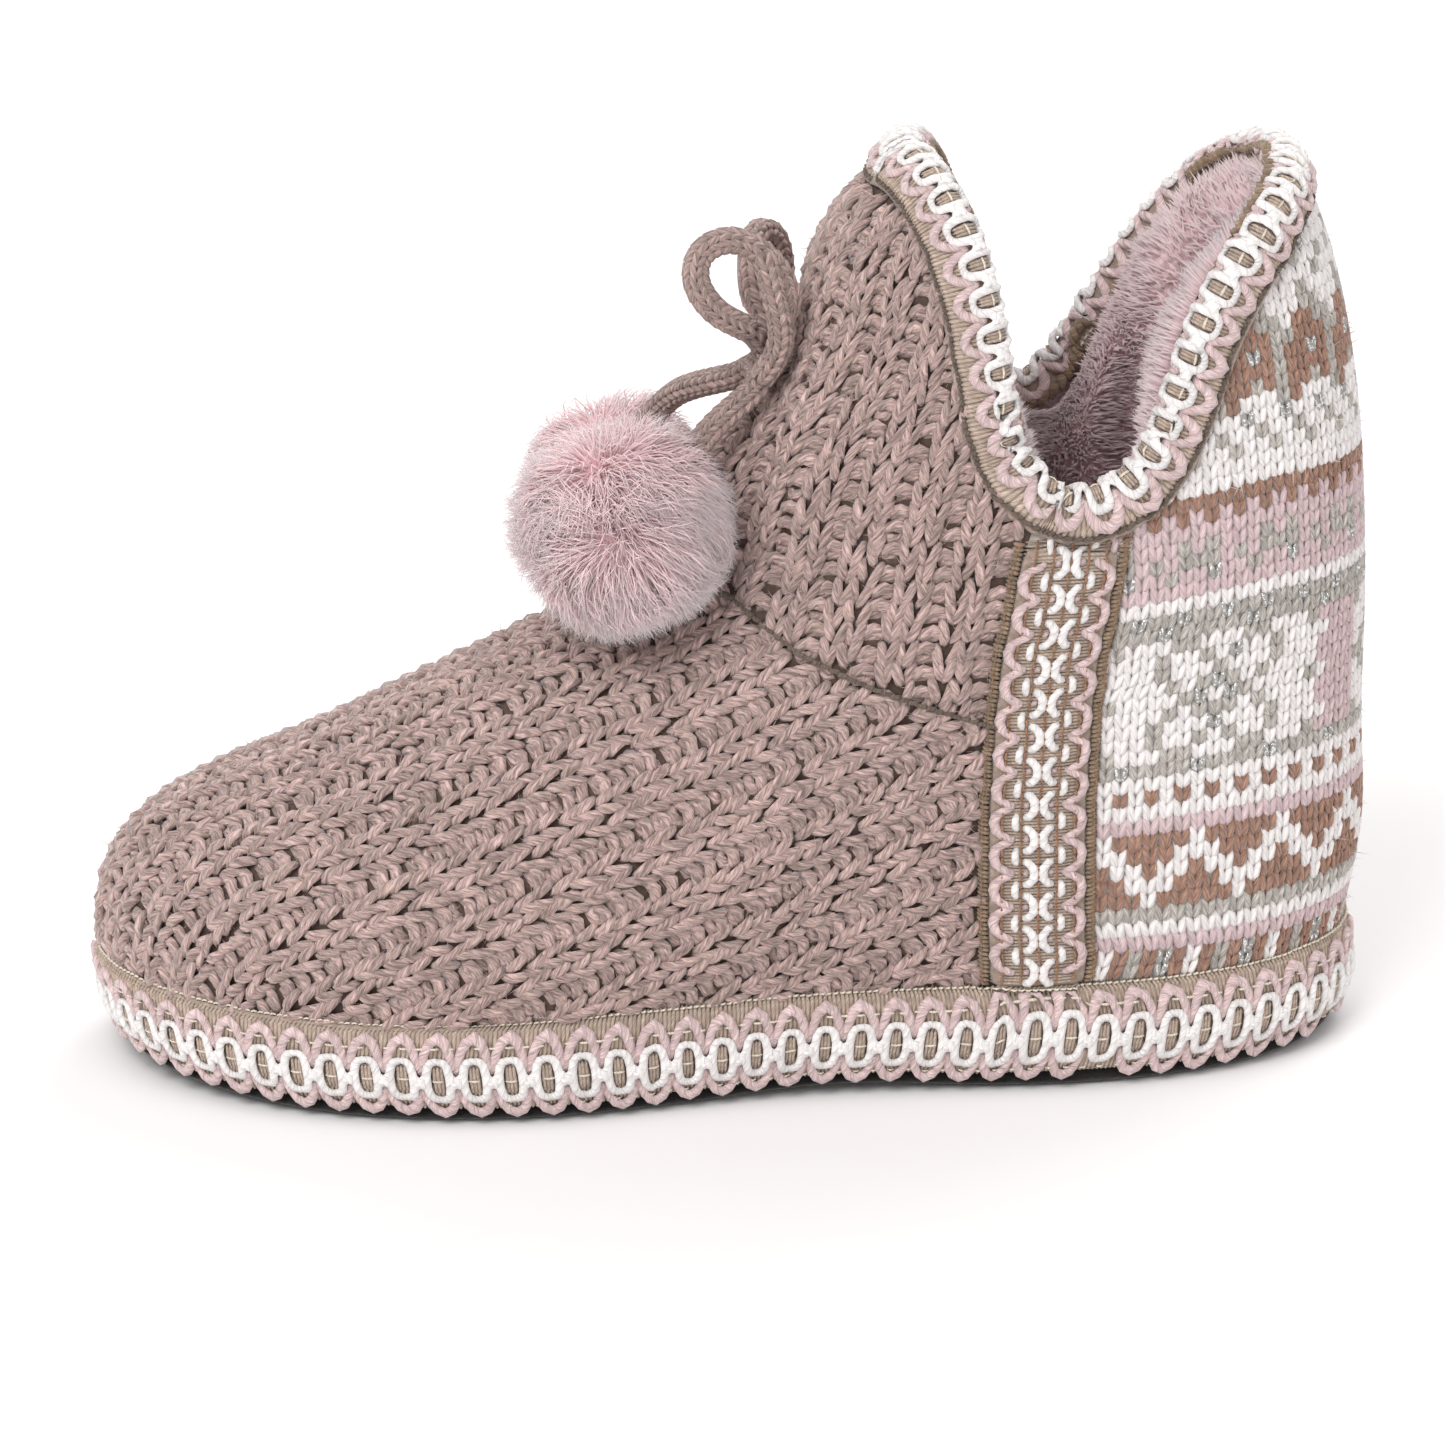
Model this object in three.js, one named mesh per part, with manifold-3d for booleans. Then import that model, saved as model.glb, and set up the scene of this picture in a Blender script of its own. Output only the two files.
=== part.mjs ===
// Knitted bootie slipper for the left foot: soft hollow upper, flat sole, braid trims, drawcord with two pompoms.
// Millimetres, +Z up. The toe points to -X, the heel to +X, and the outer side of the foot is -Y.
// Heights are measured from the floor, where the heel and the ball of the sole lie flat.

import * as THREE from 'three';
import { mergeVertices } from 'three/addons/utils/BufferGeometryUtils.js';
import Module from 'manifold-3d';

const wasm = await Module();
wasm.setup();

// Driving dimensions
const GAP = 0.3; // between pieces that touch
const WALL = 3.4; // knit and lining backing together
const COLUMNS = 52; // columns of facets round the upper
const OUTSOLE = 3; // thickness of the ribbed textile sole
const OUTSOLE_EDGE = 1.2; // how far the sole reaches past the upper's own outline
const OUTSOLE_ROUND = { inset: 1.4, height: 1.1 }; // its rounded bottom edge
const INSOLE = 5; // thickness of the padded footbed
const INSOLE_ROUND = { inset: 1.5, height: 1 }; // its rounded top edge
const BRAID = 2; // thickness of the braid trims
const BRAID_EDGE = 0.7; // how much thinner the braids are along their edges
const BRAID_SEAT = 0.15; // added to the gap under a braid where the wall behind it is hollow
const BAND_TOP = 22; // height of the braid band round the sole
const TRIM_WIDTH = 12; // collar braid on the outside, with the fold over the edge
const TRIM_INSIDE = 7; // collar binding on the inside, with the fold
const SIDE_BRAID_WIDTH = 21;
const CORD = 4.8; // diameter of the knitted drawcord

// Side view, the front line of the upper: x at each height
const FRONT_LINE = [
  { z: 3, x: -128.4 }, { z: 12, x: -130.4 }, { z: 25, x: -133.2 }, { z: 36, x: -132.6 },
  { z: 44.5, x: -129 }, { z: 50.5, x: -123.5 }, { z: 57.5, x: -112.8 }, { z: 65.8, x: -91.7 },
  { z: 76.5, x: -70.6 }, { z: 86.5, x: -49.6 }, { z: 94, x: -32 }, { z: 99, x: -18 },
  { z: 106, x: -9.5 }, { z: 116, x: -6.5 }, { z: 128, x: -8 }, { z: 136, x: -2 }, { z: 144, x: 6.5 },
  { z: 152, x: 14.5 }, { z: 158, x: 15.2 }, { z: 165, x: 14 }, { z: 172, x: 16 },
  { z: 180, x: 22 }, { z: 188, x: 30 }, { z: 196, x: 39 },
];

// Side view, the back line of the upper
const BACK_LINE = [
  { z: 3, x: 128.6 }, { z: 12, x: 130.4 }, { z: 22, x: 130.4 }, { z: 37, x: 133.6 },
  { z: 50, x: 134.5 }, { z: 70, x: 133.4 }, { z: 93, x: 133.6 }, { z: 126, x: 132.2 },
  { z: 148, x: 129.5 }, { z: 170, x: 124.6 }, { z: 185, x: 118.8 }, { z: 194, x: 112 },
];

// Half widths of each level on the outer and the inner side of the foot, and where along x they lie.
// Low down they are the ball and the heel of the foot, and up in the shaft they close into one oval.
const WIDTHS = [
  { z: 3, ballOuter: 45.5, ballInner: 45.5, ballX: -51, heelOuter: 38, heelInner: 35, heelX: 64 },
  { z: 22, ballOuter: 46.8, ballInner: 46.2, ballX: -49, heelOuter: 39, heelInner: 36, heelX: 64 },
  { z: 40, ballOuter: 46, ballInner: 45.6, ballX: -42, heelOuter: 39, heelInner: 36.5, heelX: 66 },
  { z: 58, ballOuter: 42.5, ballInner: 42.5, ballX: -14, heelOuter: 38, heelInner: 36.5, heelX: 68 },
  { z: 75, ballOuter: 39.5, ballInner: 39.5, ballX: 18, heelOuter: 37, heelInner: 36, heelX: 70 },
  { z: 92, ballOuter: 37.5, ballInner: 37.5, ballX: 38, heelOuter: 36, heelInner: 35.5, heelX: 72 },
  { z: 112, ballOuter: 35.5, ballInner: 35.5, ballX: 50, heelOuter: 34.5, heelInner: 34.5, heelX: 76 },
  { z: 130, ballOuter: 34, ballInner: 34, ballX: 56, heelOuter: 33.5, heelInner: 33.5, heelX: 80 },
  { z: 152, ballOuter: 33, ballInner: 33, ballX: 60, heelOuter: 32.5, heelInner: 32.5, heelX: 84 },
  { z: 175, ballOuter: 31, ballInner: 31, ballX: 65, heelOuter: 31, heelInner: 31, heelX: 86 },
  { z: 196, ballOuter: 28, ballInner: 28, ballX: 70, heelOuter: 28, heelInner: 28, heelX: 88 },
];
const TOE_ROUNDNESS = 2.1; // 2 is an ellipse, more is squarer
const HEEL_ROUNDNESS = 2.05;

// The waist of the sole, between ball and heel, is drawn in, more on the inner side
const WAIST = { outer: 4.5, inner: 10, fadesAt: 75 };

// The toe turns toward the inner side of the foot
const TOE_TURN = { from: -30, to: -134.5, by: 8 };

// The bottom line: toe spring, a low arch between the two flats, and a little spring at the heel
const TOE_SPRING = { from: -76, to: -134.5, by: 4.5 };
const ARCH = { middle: 20, half: 36, by: 1.4 };
const HEEL_SPRING = { from: 106, to: 134.5, by: 2 };
const SPRING_FADES_AT = 40; // height at which the bottom line no longer shows

// Side view of the collar, from the back peak to the front peak: the top of the braid folded over it
const COLLAR_OUTER = [
  { x: 113, z: 193 }, { x: 107.5, z: 187.5 }, { x: 99, z: 177 }, { x: 90, z: 162 },
  { x: 85, z: 147 }, { x: 79, z: 134.5 }, { x: 69.5, z: 128 }, { x: 61, z: 131.5 },
  { x: 56, z: 141 }, { x: 54, z: 152 }, { x: 51.5, z: 168 }, { x: 47.5, z: 182 },
  { x: 43, z: 191 }, { x: 39, z: 196 },
];
const COLLAR_INNER = [
  { x: 113, z: 193 }, { x: 107.5, z: 188.5 }, { x: 98.5, z: 180.5 }, { x: 86, z: 164.5 },
  { x: 74, z: 144.5 }, { x: 64, z: 132.5 }, { x: 57.5, z: 136.5 }, { x: 54, z: 150 },
  { x: 52, z: 166 }, { x: 48, z: 181.5 }, { x: 43, z: 191 }, { x: 39, z: 196 },
];

// Middle line of the two side braids in the side view, and about where they end under the collar braid
const SIDE_BRAID_LINE = [{ z: 22, x: 60 }, { z: 50, x: 59.3 }, { z: 85, x: 60.8 }, { z: 105, x: 64 }, { z: 128, x: 69 }];
const SIDE_BRAID_TOP = 118;

// The drawcord's bow, in front of the shaft: its knot, two loops and two ends
const KNOT = { x: 6.8, y: -4, z: 154, halfDepth: 5.2, halfWidth: 6.6, halfHeight: 7 };
const LOOP_OUTER = [
  [3.3, -8.4, 158.1], [0.4, -11, 160.2], [-4.6, -12.9, 163.8], [-8.4, -13.4, 169.6], [-8, -12.8, 175.2],
  [-4, -12, 178], [1, -11.6, 177.8], [6, -11.7, 174.4], [9.6, -12, 169], [10.4, -12.2, 164], [8.3, -9.4, 159.3],
];
const LOOP_INNER = [
  [5.6, 0.5, 160], [4.6, 3.6, 164], [5, 9, 169.4], [7.2, 15, 172.3], [10.8, 19.2, 170.4],
  [12.6, 20, 164.6], [12, 15.4, 159.2], [10.2, 9.4, 156.4], [7.7, 3.3, 155.2],
];
const END_OUTER = [
  [5.3, -8.6, 148.2], [3.2, -11.2, 145.6], [-1, -13.8, 143], [-5.6, -16, 139.6], [-10.1, -18.1, 135],
];
const END_INNER = [
  [4.1, -0.6, 147.9], [2, 1, 145.8], [-2.2, 4.8, 143.6], [-6.4, 10, 141], [-10, 15.8, 137.6], [-13.4, 21.4, 132.4],
];
const POMPOM_OUTER = { x: -24.9, y: -23.6, z: 121.6, radius: 19.4, turn: 0.4 };
const POMPOM_INNER = { x: -24.3, y: 28.8, z: 114.9, radius: 18.2, turn: 1.3 };
const POMPOM_LOCKS = { count: 56, radius: 5.4, length: 7.6, sides: 4, sunk: 3.6 };

// Materials, one for each slot
function finish(color, roughness, metalness = 0) {
  return new THREE.MeshStandardMaterial({ color, roughness, metalness });
}
const MATERIALS = {
  knit: finish('#a3897f', 0.95),
  braid: finish('#cdb7ae', 0.9),
  sole: finish('#4b4746', 0.85),
  footbed: finish('#c9a9a8', 0.95),
  cord: finish('#9f877c', 0.95),
  pompom: finish('#dcc0c1', 1),
};

const TAU = 2 * Math.PI;
const clamp01 = (t) => Math.min(1, Math.max(0, t));
const mix = (a, b, t) => a + (b - a) * t;
const smooth = (t) => t * t * (3 - 2 * t);

// A monotone cubic curve through one column of a table, which never overshoots its rows
function curveOf(rows, column) {
  const z = rows.map((row) => row.z);
  const v = rows.map((row) => row[column]);
  const last = rows.length - 1;
  const slope = z.slice(0, last).map((_, i) => (v[i + 1] - v[i]) / (z[i + 1] - z[i]));
  const tangent = z.map((_, i) => {
    if (i === 0) return slope[0];
    if (i === last) return slope[last - 1];
    const product = slope[i - 1] * slope[i];
    return product <= 0 ? 0 : (2 * product) / (slope[i - 1] + slope[i]);
  });
  return (height) => {
    const h = Math.min(z[last], Math.max(z[0], height));
    let i = 0;
    while (i < last - 1 && h > z[i + 1]) i += 1;
    const step = z[i + 1] - z[i];
    const t = (h - z[i]) / step;
    const rise = v[i + 1] - v[i];
    const a = tangent[i] * step - rise;
    const b = rise - tangent[i + 1] * step;
    return mix(v[i], v[i + 1], t) + t * (1 - t) * (a * (1 - t) + b * t);
  };
}

const frontX = curveOf(FRONT_LINE, 'x');
const backX = curveOf(BACK_LINE, 'x');
const braidX = curveOf(SIDE_BRAID_LINE, 'x');
const braidTopX = braidX(SIDE_BRAID_TOP);
const width = Object.fromEntries(
  ['ballOuter', 'ballInner', 'ballX', 'heelOuter', 'heelInner', 'heelX'].map((name) => [name, curveOf(WIDTHS, name)]),
);

const reach = (line, x) => clamp01((x - line.from) / (line.to - line.from));

// How far the bottom line stands off the floor at x
function bottomLift(x) {
  const toe = TOE_SPRING.by * reach(TOE_SPRING, x) ** 2;
  const heel = HEEL_SPRING.by * reach(HEEL_SPRING, x) ** 2;
  const t = (x - ARCH.middle) / ARCH.half;
  const arch = Math.abs(t) < 1 ? ARCH.by * Math.cos((t * Math.PI) / 2) ** 2 : 0;
  return toe + heel + arch;
}

// A point of the upper's outer face. turn goes from 0 at the heel along the outer side to PI at the toe,
// and back along the inner side to 2 PI. A third of each half turn is the heel, a third the waist, a third the toe.
function skin(turn, z) {
  const t = ((turn % TAU) + TAU) % TAU;
  const outer = t <= Math.PI;
  const third = (outer ? t : TAU - t) / (Math.PI / 3);
  const ball = outer ? width.ballOuter(z) : width.ballInner(z);
  const heel = outer ? width.heelOuter(z) : width.heelInner(z);
  const ballX = width.ballX(z);
  const heelX = width.heelX(z);
  let x;
  let half;
  if (third < 1) {
    const angle = (third * Math.PI) / 2;
    x = heelX + (backX(z) - heelX) * Math.cos(angle) ** (2 / HEEL_ROUNDNESS);
    half = heel * Math.sin(angle) ** (2 / HEEL_ROUNDNESS);
  } else if (third <= 2) {
    x = mix(heelX, ballX, third - 1);
    const waist = (outer ? WAIST.outer : WAIST.inner) * (1 - smooth(clamp01(z / WAIST.fadesAt)));
    half = mix(heel, ball, smooth(third - 1)) - waist * Math.sin((third - 1) * Math.PI) ** 2;
  } else {
    const angle = ((3 - third) * Math.PI) / 2;
    x = ballX + (frontX(z) - ballX) * Math.max(0, Math.cos(angle)) ** (2 / TOE_ROUNDNESS);
    half = ball * Math.max(0, Math.sin(angle)) ** (2 / TOE_ROUNDNESS);
  }
  const y = (outer ? -half : half) + TOE_TURN.by * reach(TOE_TURN, x) ** 2;
  const lift = bottomLift(x) * clamp01(1 - z / SPRING_FADES_AT);
  return new THREE.Vector3(x, y, z + lift);
}

// Small steps that measure the face's slope, as a turn and in millimetres
const SIDE_STEP = 0.012;
const UP_STEP = 0.6;

// The outward direction of the outer face
function outward(turn, z) {
  const along = skin(turn + SIDE_STEP, z).sub(skin(turn - SIDE_STEP, z));
  const up = skin(turn, z + UP_STEP).sub(skin(turn, z - UP_STEP));
  return up.cross(along).normalize();
}

// The same face moved outward, or inward where off is negative
function shell(turn, z, off) {
  return skin(turn, z).addScaledVector(outward(turn, z), off);
}

// The sole's outline moved outward in plan, at a height of its own
function outline(turn, z, off) {
  const p = skin(turn, z);
  const along = skin(turn + SIDE_STEP, z).sub(skin(turn - SIDE_STEP, z));
  const side = new THREE.Vector3(along.y, -along.x, 0).normalize();
  return p.addScaledVector(side, -off);
}

// The turn at which one side of the level at height z reaches x
function turnAt(x, z, inner) {
  let low = 0;
  let high = Math.PI;
  for (let i = 0; i < 40; i += 1) {
    const middle = (low + high) / 2;
    if (skin(middle, z).x > x) low = middle;
    else high = middle;
  }
  return inner ? TAU - low : low;
}

// The turn of the level at height z that lies nearest to a point
function nearestTurn(point, z, guess) {
  let best = guess;
  for (let span = 0.6; span > 1e-4; span /= 2) {
    const tries = [best - span, best, best + span];
    const far = tries.map((turn) => skin(turn, z).distanceToSquared(point));
    best = tries[far.indexOf(Math.min(...far))];
  }
  return best;
}

// The collar as turns and heights, half the columns to a side and equally spaced along it
function collarLine() {
  const half = COLUMNS / 2;
  const samples = 300;
  const sides = [COLLAR_OUTER, COLLAR_INNER].map((rows, side) => {
    const points = rows.map(({ x, z }) => new THREE.Vector3(x, 0, z));
    const curve = new THREE.CatmullRomCurve3(points, false, 'centripetal');
    const fine = curve.getPoints(samples).map((p, i) => {
      const turn = i === 0 ? 0 : i === samples ? Math.PI : turnAt(p.x, p.z, false);
      return { turn: side ? TAU - turn : turn, z: p.z };
    });
    const length = [0];
    for (let i = 1; i <= samples; i += 1) {
      const step = skin(fine[i].turn, fine[i].z).distanceTo(skin(fine[i - 1].turn, fine[i - 1].z));
      length.push(length[i - 1] + step);
    }
    return Array.from({ length: half + 1 }, (_, k) => {
      const want = (length[samples] * k) / half;
      let i = 0;
      while (i < samples - 1 && length[i + 1] < want) i += 1;
      const t = (want - length[i]) / (length[i + 1] - length[i]);
      return { turn: mix(fine[i].turn, fine[i + 1].turn, t), z: mix(fine[i].z, fine[i + 1].z, t) };
    });
  });
  return [...sides[0], ...sides[1].slice(1, -1).reverse()];
}

// A line on the face that runs beside the collar, a given width down from it
function besideCollar(distance) {
  return COLLAR.map(({ turn, z }, i) => {
    const before = COLLAR[(i + COLUMNS - 1) % COLUMNS];
    const after = COLLAR[(i + 1) % COLUMNS];
    const along = skin(after.turn, after.z).sub(skin(before.turn, before.z)).normalize();
    const down = along.cross(outward(turn, z)).normalize();
    if (down.z > 0) down.negate();
    const point = skin(turn, z).addScaledVector(down, distance);
    const lift = bottomLift(point.x) * clamp01(1 - point.z / SPRING_FADES_AT);
    const height = point.z - lift;
    return { turn: nearestTurn(point, height, turn), z: height };
  });
}

const COLLAR = collarLine();
const EDGE = besideCollar(GAP + BRAID);
const UNDER_BINDING = besideCollar(TRIM_INSIDE);
const UNDER_TRIM = besideCollar(TRIM_WIDTH);

// One column of the upper: heights and turns from the bottom edge to the collar
const BOTTOM_ROWS = [OUTSOLE + GAP, 12, BAND_TOP, 30, 39, 47, 54];
const MIDDLE_ROWS = 14;
function column(i) {
  const start = (i / COLUMNS) * TAU;
  const top = UNDER_TRIM[i];
  const low = BOTTOM_ROWS[BOTTOM_ROWS.length - 1];
  const turnBy = (z) => mix(start, top.turn, smooth(clamp01((z - low) / (top.z - low))));
  const samples = 80;
  const fine = Array.from({ length: samples + 1 }, (_, k) => mix(low, top.z, k / samples));
  const length = [0];
  for (let k = 1; k <= samples; k += 1) {
    const step = skin(turnBy(fine[k]), fine[k]).distanceTo(skin(turnBy(fine[k - 1]), fine[k - 1]));
    length.push(length[k - 1] + step);
  }
  const rows = BOTTOM_ROWS.map((z) => ({ turn: start, z }));
  for (let row = 1; row < MIDDLE_ROWS; row += 1) {
    const want = (length[samples] * row) / MIDDLE_ROWS;
    let k = 0;
    while (k < samples - 1 && length[k + 1] < want) k += 1;
    const z = mix(fine[k], fine[k + 1], (want - length[k]) / (length[k + 1] - length[k]));
    rows.push({ turn: turnBy(z), z });
  }
  rows.push(UNDER_TRIM[i], UNDER_BINDING[i], EDGE[i]);
  return rows;
}
const FACE = Array.from({ length: COLUMNS }, (_, i) => column(i));

// A closed solid from sections of equal count, joined in a ring, or capped at both ends by a strip
// between the section's first half and its second
function loft(sections, closed) {
  const count = sections[0].length;
  const position = sections.flat().flatMap((p) => [p.x, p.y, p.z]);
  const index = [];
  const spans = closed ? sections.length : sections.length - 1;
  for (let s = 0; s < spans; s += 1) {
    const next = (s + 1) % sections.length;
    for (let k = 0; k < count; k += 1) {
      const a = s * count + k;
      const b = s * count + ((k + 1) % count);
      const c = next * count + ((k + 1) % count);
      const d = next * count + k;
      index.push(a, b, c, a, c, d);
    }
  }
  if (!closed) {
    const end = (sections.length - 1) * count;
    for (let k = 0; k < count / 2 - 1; k += 1) {
      const strip = [k, k + 1, count - 2 - k, k, count - 2 - k, count - 1 - k];
      index.push(...[...strip].reverse(), ...strip.map((v) => v + end));
    }
  }
  return solid(position, index);
}

// A geometry whose faces point outward, whichever way its sections ran
function solid(position, index) {
  const geometry = new THREE.BufferGeometry();
  geometry.setAttribute('position', new THREE.Float32BufferAttribute(position, 3));
  let volume = 0;
  const corner = [new THREE.Vector3(), new THREE.Vector3(), new THREE.Vector3()];
  for (let i = 0; i < index.length; i += 3) {
    corner.forEach((p, k) => p.fromArray(position, index[i + k] * 3));
    volume += corner[0].dot(corner[1].clone().cross(corner[2]));
  }
  if (volume < 0) {
    for (let i = 0; i < index.length; i += 3) {
      const keep = index[i + 1];
      index[i + 1] = index[i + 2];
      index[i + 2] = keep;
    }
  }
  geometry.setIndex(index);
  return geometry;
}

// The upper: one wall all round, open at the collar and underneath
function upper() {
  const sections = FACE.map((rows) => {
    const outside = rows.map(({ turn, z }) => skin(turn, z));
    const inside = rows.map(({ turn, z }) => {
      const p = shell(turn, z, -WALL);
      if (z === BOTTOM_ROWS[0]) p.z = skin(turn, z).z;
      return p;
    });
    return [...outside, ...inside.reverse()];
  });
  return loft(sections, true);
}

// A flat sole piece: stacked outlines whose bottom and top are closed by strips across the foot
function soleSlab(rings, stations) {
  const around = 2 * stations;
  const position = [];
  rings.forEach(({ level, height, off }) => {
    for (let i = 0; i < around; i += 1) {
      const turn = (i / around) * TAU;
      const p = outline(turn, level, off);
      const lift = bottomLift(skin(turn, level).x) * (1 - height / SPRING_FADES_AT);
      position.push(p.x, p.y, height + lift);
    }
  });
  const index = [];
  for (let r = 0; r < rings.length - 1; r += 1) {
    for (let i = 0; i < around; i += 1) {
      const next = (i + 1) % around;
      const a = r * around + i;
      const b = r * around + next;
      index.push(a, b, b + around, a, b + around, a + around);
    }
  }
  const cap = (base, flip) => {
    const face = (a, b, c) => index.push(...(flip ? [a, c, b] : [a, b, c]).map((k) => base + k));
    for (let i = 0; i < stations; i += 1) {
      const a = i;
      const b = i + 1;
      const c = (around - i - 1) % around;
      const d = (around - i) % around;
      if (b !== c) face(a, c, b);
      if (a !== d) face(a, d, c);
    }
  };
  cap(0, false);
  cap((rings.length - 1) * around, true);
  return solid(position, index);
}

function outsole() {
  const level = BOTTOM_ROWS[0];
  return soleSlab(
    [
      { level, height: 0, off: OUTSOLE_EDGE - OUTSOLE_ROUND.inset },
      { level, height: OUTSOLE_ROUND.height, off: OUTSOLE_EDGE },
      { level, height: OUTSOLE, off: OUTSOLE_EDGE },
    ],
    40,
  );
}

function insole() {
  const level = BOTTOM_ROWS[0];
  const bottom = OUTSOLE + GAP;
  const edge = -WALL - 1.5 * GAP;
  return soleSlab(
    [
      { level, height: bottom, off: edge },
      { level, height: bottom + INSOLE - INSOLE_ROUND.height, off: edge - GAP },
      { level, height: bottom + INSOLE, off: edge - INSOLE_ROUND.inset },
    ],
    32,
  );
}

// The braid band round the sole, a slightly rounded strip on the upper's lowest rows
function soleBraid() {
  const near = GAP + BRAID_SEAT;
  const far = near + BRAID;
  const sections = FACE.map(([bottom, middle, top]) => {
    const low = bottom.z + GAP;
    return [
      shell(bottom.turn, low, near),
      shell(bottom.turn, low, far - BRAID_EDGE),
      shell(middle.turn, mix(low, top.z, 0.25), far),
      shell(middle.turn, mix(low, top.z, 0.75), far),
      shell(top.turn, top.z, far - BRAID_EDGE),
      shell(top.turn, top.z, near),
      shell(middle.turn, middle.z, near),
    ];
  });
  return loft(sections, true);
}

// The collar braid, folded over the edge: a wide leg outside and the narrow binding inside
function collarBraid() {
  const sections = FACE.map((rows, i) => {
    const [under, binding, edge] = rows.slice(-3);
    const edgeOut = outward(edge.turn, edge.z);
    const top = skin(edge.turn, edge.z);
    const up = top.clone().sub(skin(binding.turn, binding.z)).normalize();
    const over = (off, rise) => top.clone().addScaledVector(edgeOut, off).addScaledVector(up, rise);
    const inside = -WALL - GAP;
    return [
      shell(under.turn, under.z, GAP),
      shell(under.turn, under.z, GAP + BRAID - BRAID_EDGE),
      shell(binding.turn, binding.z, GAP + BRAID),
      over(GAP + BRAID - BRAID_EDGE, BRAID_EDGE),
      over(-WALL / 2, GAP + BRAID),
      over(inside - BRAID + BRAID_EDGE, BRAID_EDGE),
      shell(binding.turn, binding.z, inside - BRAID + BRAID_EDGE),
      shell(binding.turn, binding.z, inside),
      over(inside, GAP),
      over(GAP, GAP),
      shell(binding.turn, binding.z, GAP),
    ];
  });
  return loft(sections, true);
}

// Where a vertical line on the side at x ends under the collar braid
function trimBottomAt(x, inner) {
  const side = UNDER_TRIM.filter(({ turn }) => (turn > Math.PI) === inner && turn !== 0);
  let best = Infinity;
  side.forEach((a, i) => {
    const b = side[i + 1];
    if (!b) return;
    const ax = skin(a.turn, a.z).x;
    const bx = skin(b.turn, b.z).x;
    if ((ax - x) * (bx - x) <= 0) best = Math.min(best, mix(a.z, b.z, (x - ax) / (bx - ax)));
  });
  return best;
}

// A side braid: a strip from the sole's band up to the collar braid
function sideBraid(inner) {
  const offsets = [-0.5, -0.25, 0, 0.25, 0.5];
  const steps = 12;
  const endGap = 3 * GAP; // the ends are cut straight between the other braids' facets
  const sections = Array.from({ length: steps + 1 }, (_, s) => {
    const row = offsets.map((offset) => {
      const topX = braidTopX + offset * SIDE_BRAID_WIDTH;
      const z = mix(BAND_TOP + endGap, trimBottomAt(topX, inner) - endGap, s / steps);
      const x = braidX(z) + offset * SIDE_BRAID_WIDTH;
      return { turn: turnAt(x, z, inner), z, edge: Math.abs(offset) === 0.5 };
    });
    const under = row.map(({ turn, z }) => shell(turn, z, GAP + BRAID_SEAT));
    const over = row.map(({ turn, z, edge }) => shell(turn, z, GAP + BRAID - (edge ? BRAID_EDGE : 0)));
    return [...under, ...over.reverse()];
  });
  return loft(sections, false);
}

// A cord along a smooth line through its points
function cord(points, steps) {
  const curve = new THREE.CatmullRomCurve3(points.map((p) => new THREE.Vector3(...p)), false, 'centripetal');
  const section = new THREE.Shape();
  const sides = 8;
  for (let i = 0; i < sides; i += 1) {
    const angle = (i / sides) * TAU;
    const x = (Math.cos(angle) * CORD) / 2;
    const y = (Math.sin(angle) * CORD) / 2;
    if (i === 0) section.moveTo(x, y);
    else section.lineTo(x, y);
  }
  section.closePath();
  return new THREE.ExtrudeGeometry(section, { extrudePath: curve, steps, bevelEnabled: false });
}

// The bow's knot: a squashed ball
function knot() {
  const ball = new THREE.SphereGeometry(1, 14, 10);
  ball.scale(KNOT.halfDepth, KNOT.halfWidth, KNOT.halfHeight);
  ball.translate(KNOT.x, KNOT.y, KNOT.z);
  return ball;
}

function toManifold(geometry) {
  const bare = geometry.clone();
  bare.deleteAttribute('normal');
  bare.deleteAttribute('uv');
  const merged = mergeVertices(bare, 1e-4);
  return new wasm.Manifold(
    new wasm.Mesh({
      numProp: 3,
      vertProperties: new Float32Array(merged.attributes.position.array),
      triVerts: new Uint32Array(merged.index.array),
    }),
  );
}

function fromManifold(body) {
  const mesh = body.getMesh();
  const geometry = new THREE.BufferGeometry();
  geometry.setAttribute('position', new THREE.BufferAttribute(mesh.vertProperties, 3));
  geometry.setIndex(new THREE.BufferAttribute(mesh.triVerts, 1));
  return geometry;
}

// A pompom: a round body with pointed locks of fur fused on, spread evenly by the golden angle
function pompom({ x, y, z, radius, turn }) {
  let body = toManifold(new THREE.IcosahedronGeometry(radius, 2));
  const golden = Math.PI * (3 - Math.sqrt(5));
  const up = new THREE.Vector3(0, 1, 0);
  for (let i = 0; i < POMPOM_LOCKS.count; i += 1) {
    const height = 1 - (2 * (i + 0.5)) / POMPOM_LOCKS.count;
    const ring = Math.sqrt(1 - height * height);
    const angle = i * golden + turn;
    const direction = new THREE.Vector3(ring * Math.cos(angle), ring * Math.sin(angle), height);
    const lock = new THREE.ConeGeometry(POMPOM_LOCKS.radius, POMPOM_LOCKS.length, POMPOM_LOCKS.sides);
    lock.translate(0, POMPOM_LOCKS.length / 2, 0);
    lock.applyQuaternion(new THREE.Quaternion().setFromUnitVectors(up, direction));
    lock.translate(...direction.multiplyScalar(radius - POMPOM_LOCKS.sunk).toArray());
    body = body.add(toManifold(lock));
  }
  return fromManifold(body).translate(x, y, z);
}

const slipper = new THREE.Group();
function add(name, geometry, material) {
  const mesh = new THREE.Mesh(geometry, material);
  mesh.name = name;
  slipper.add(mesh);
}

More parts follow.
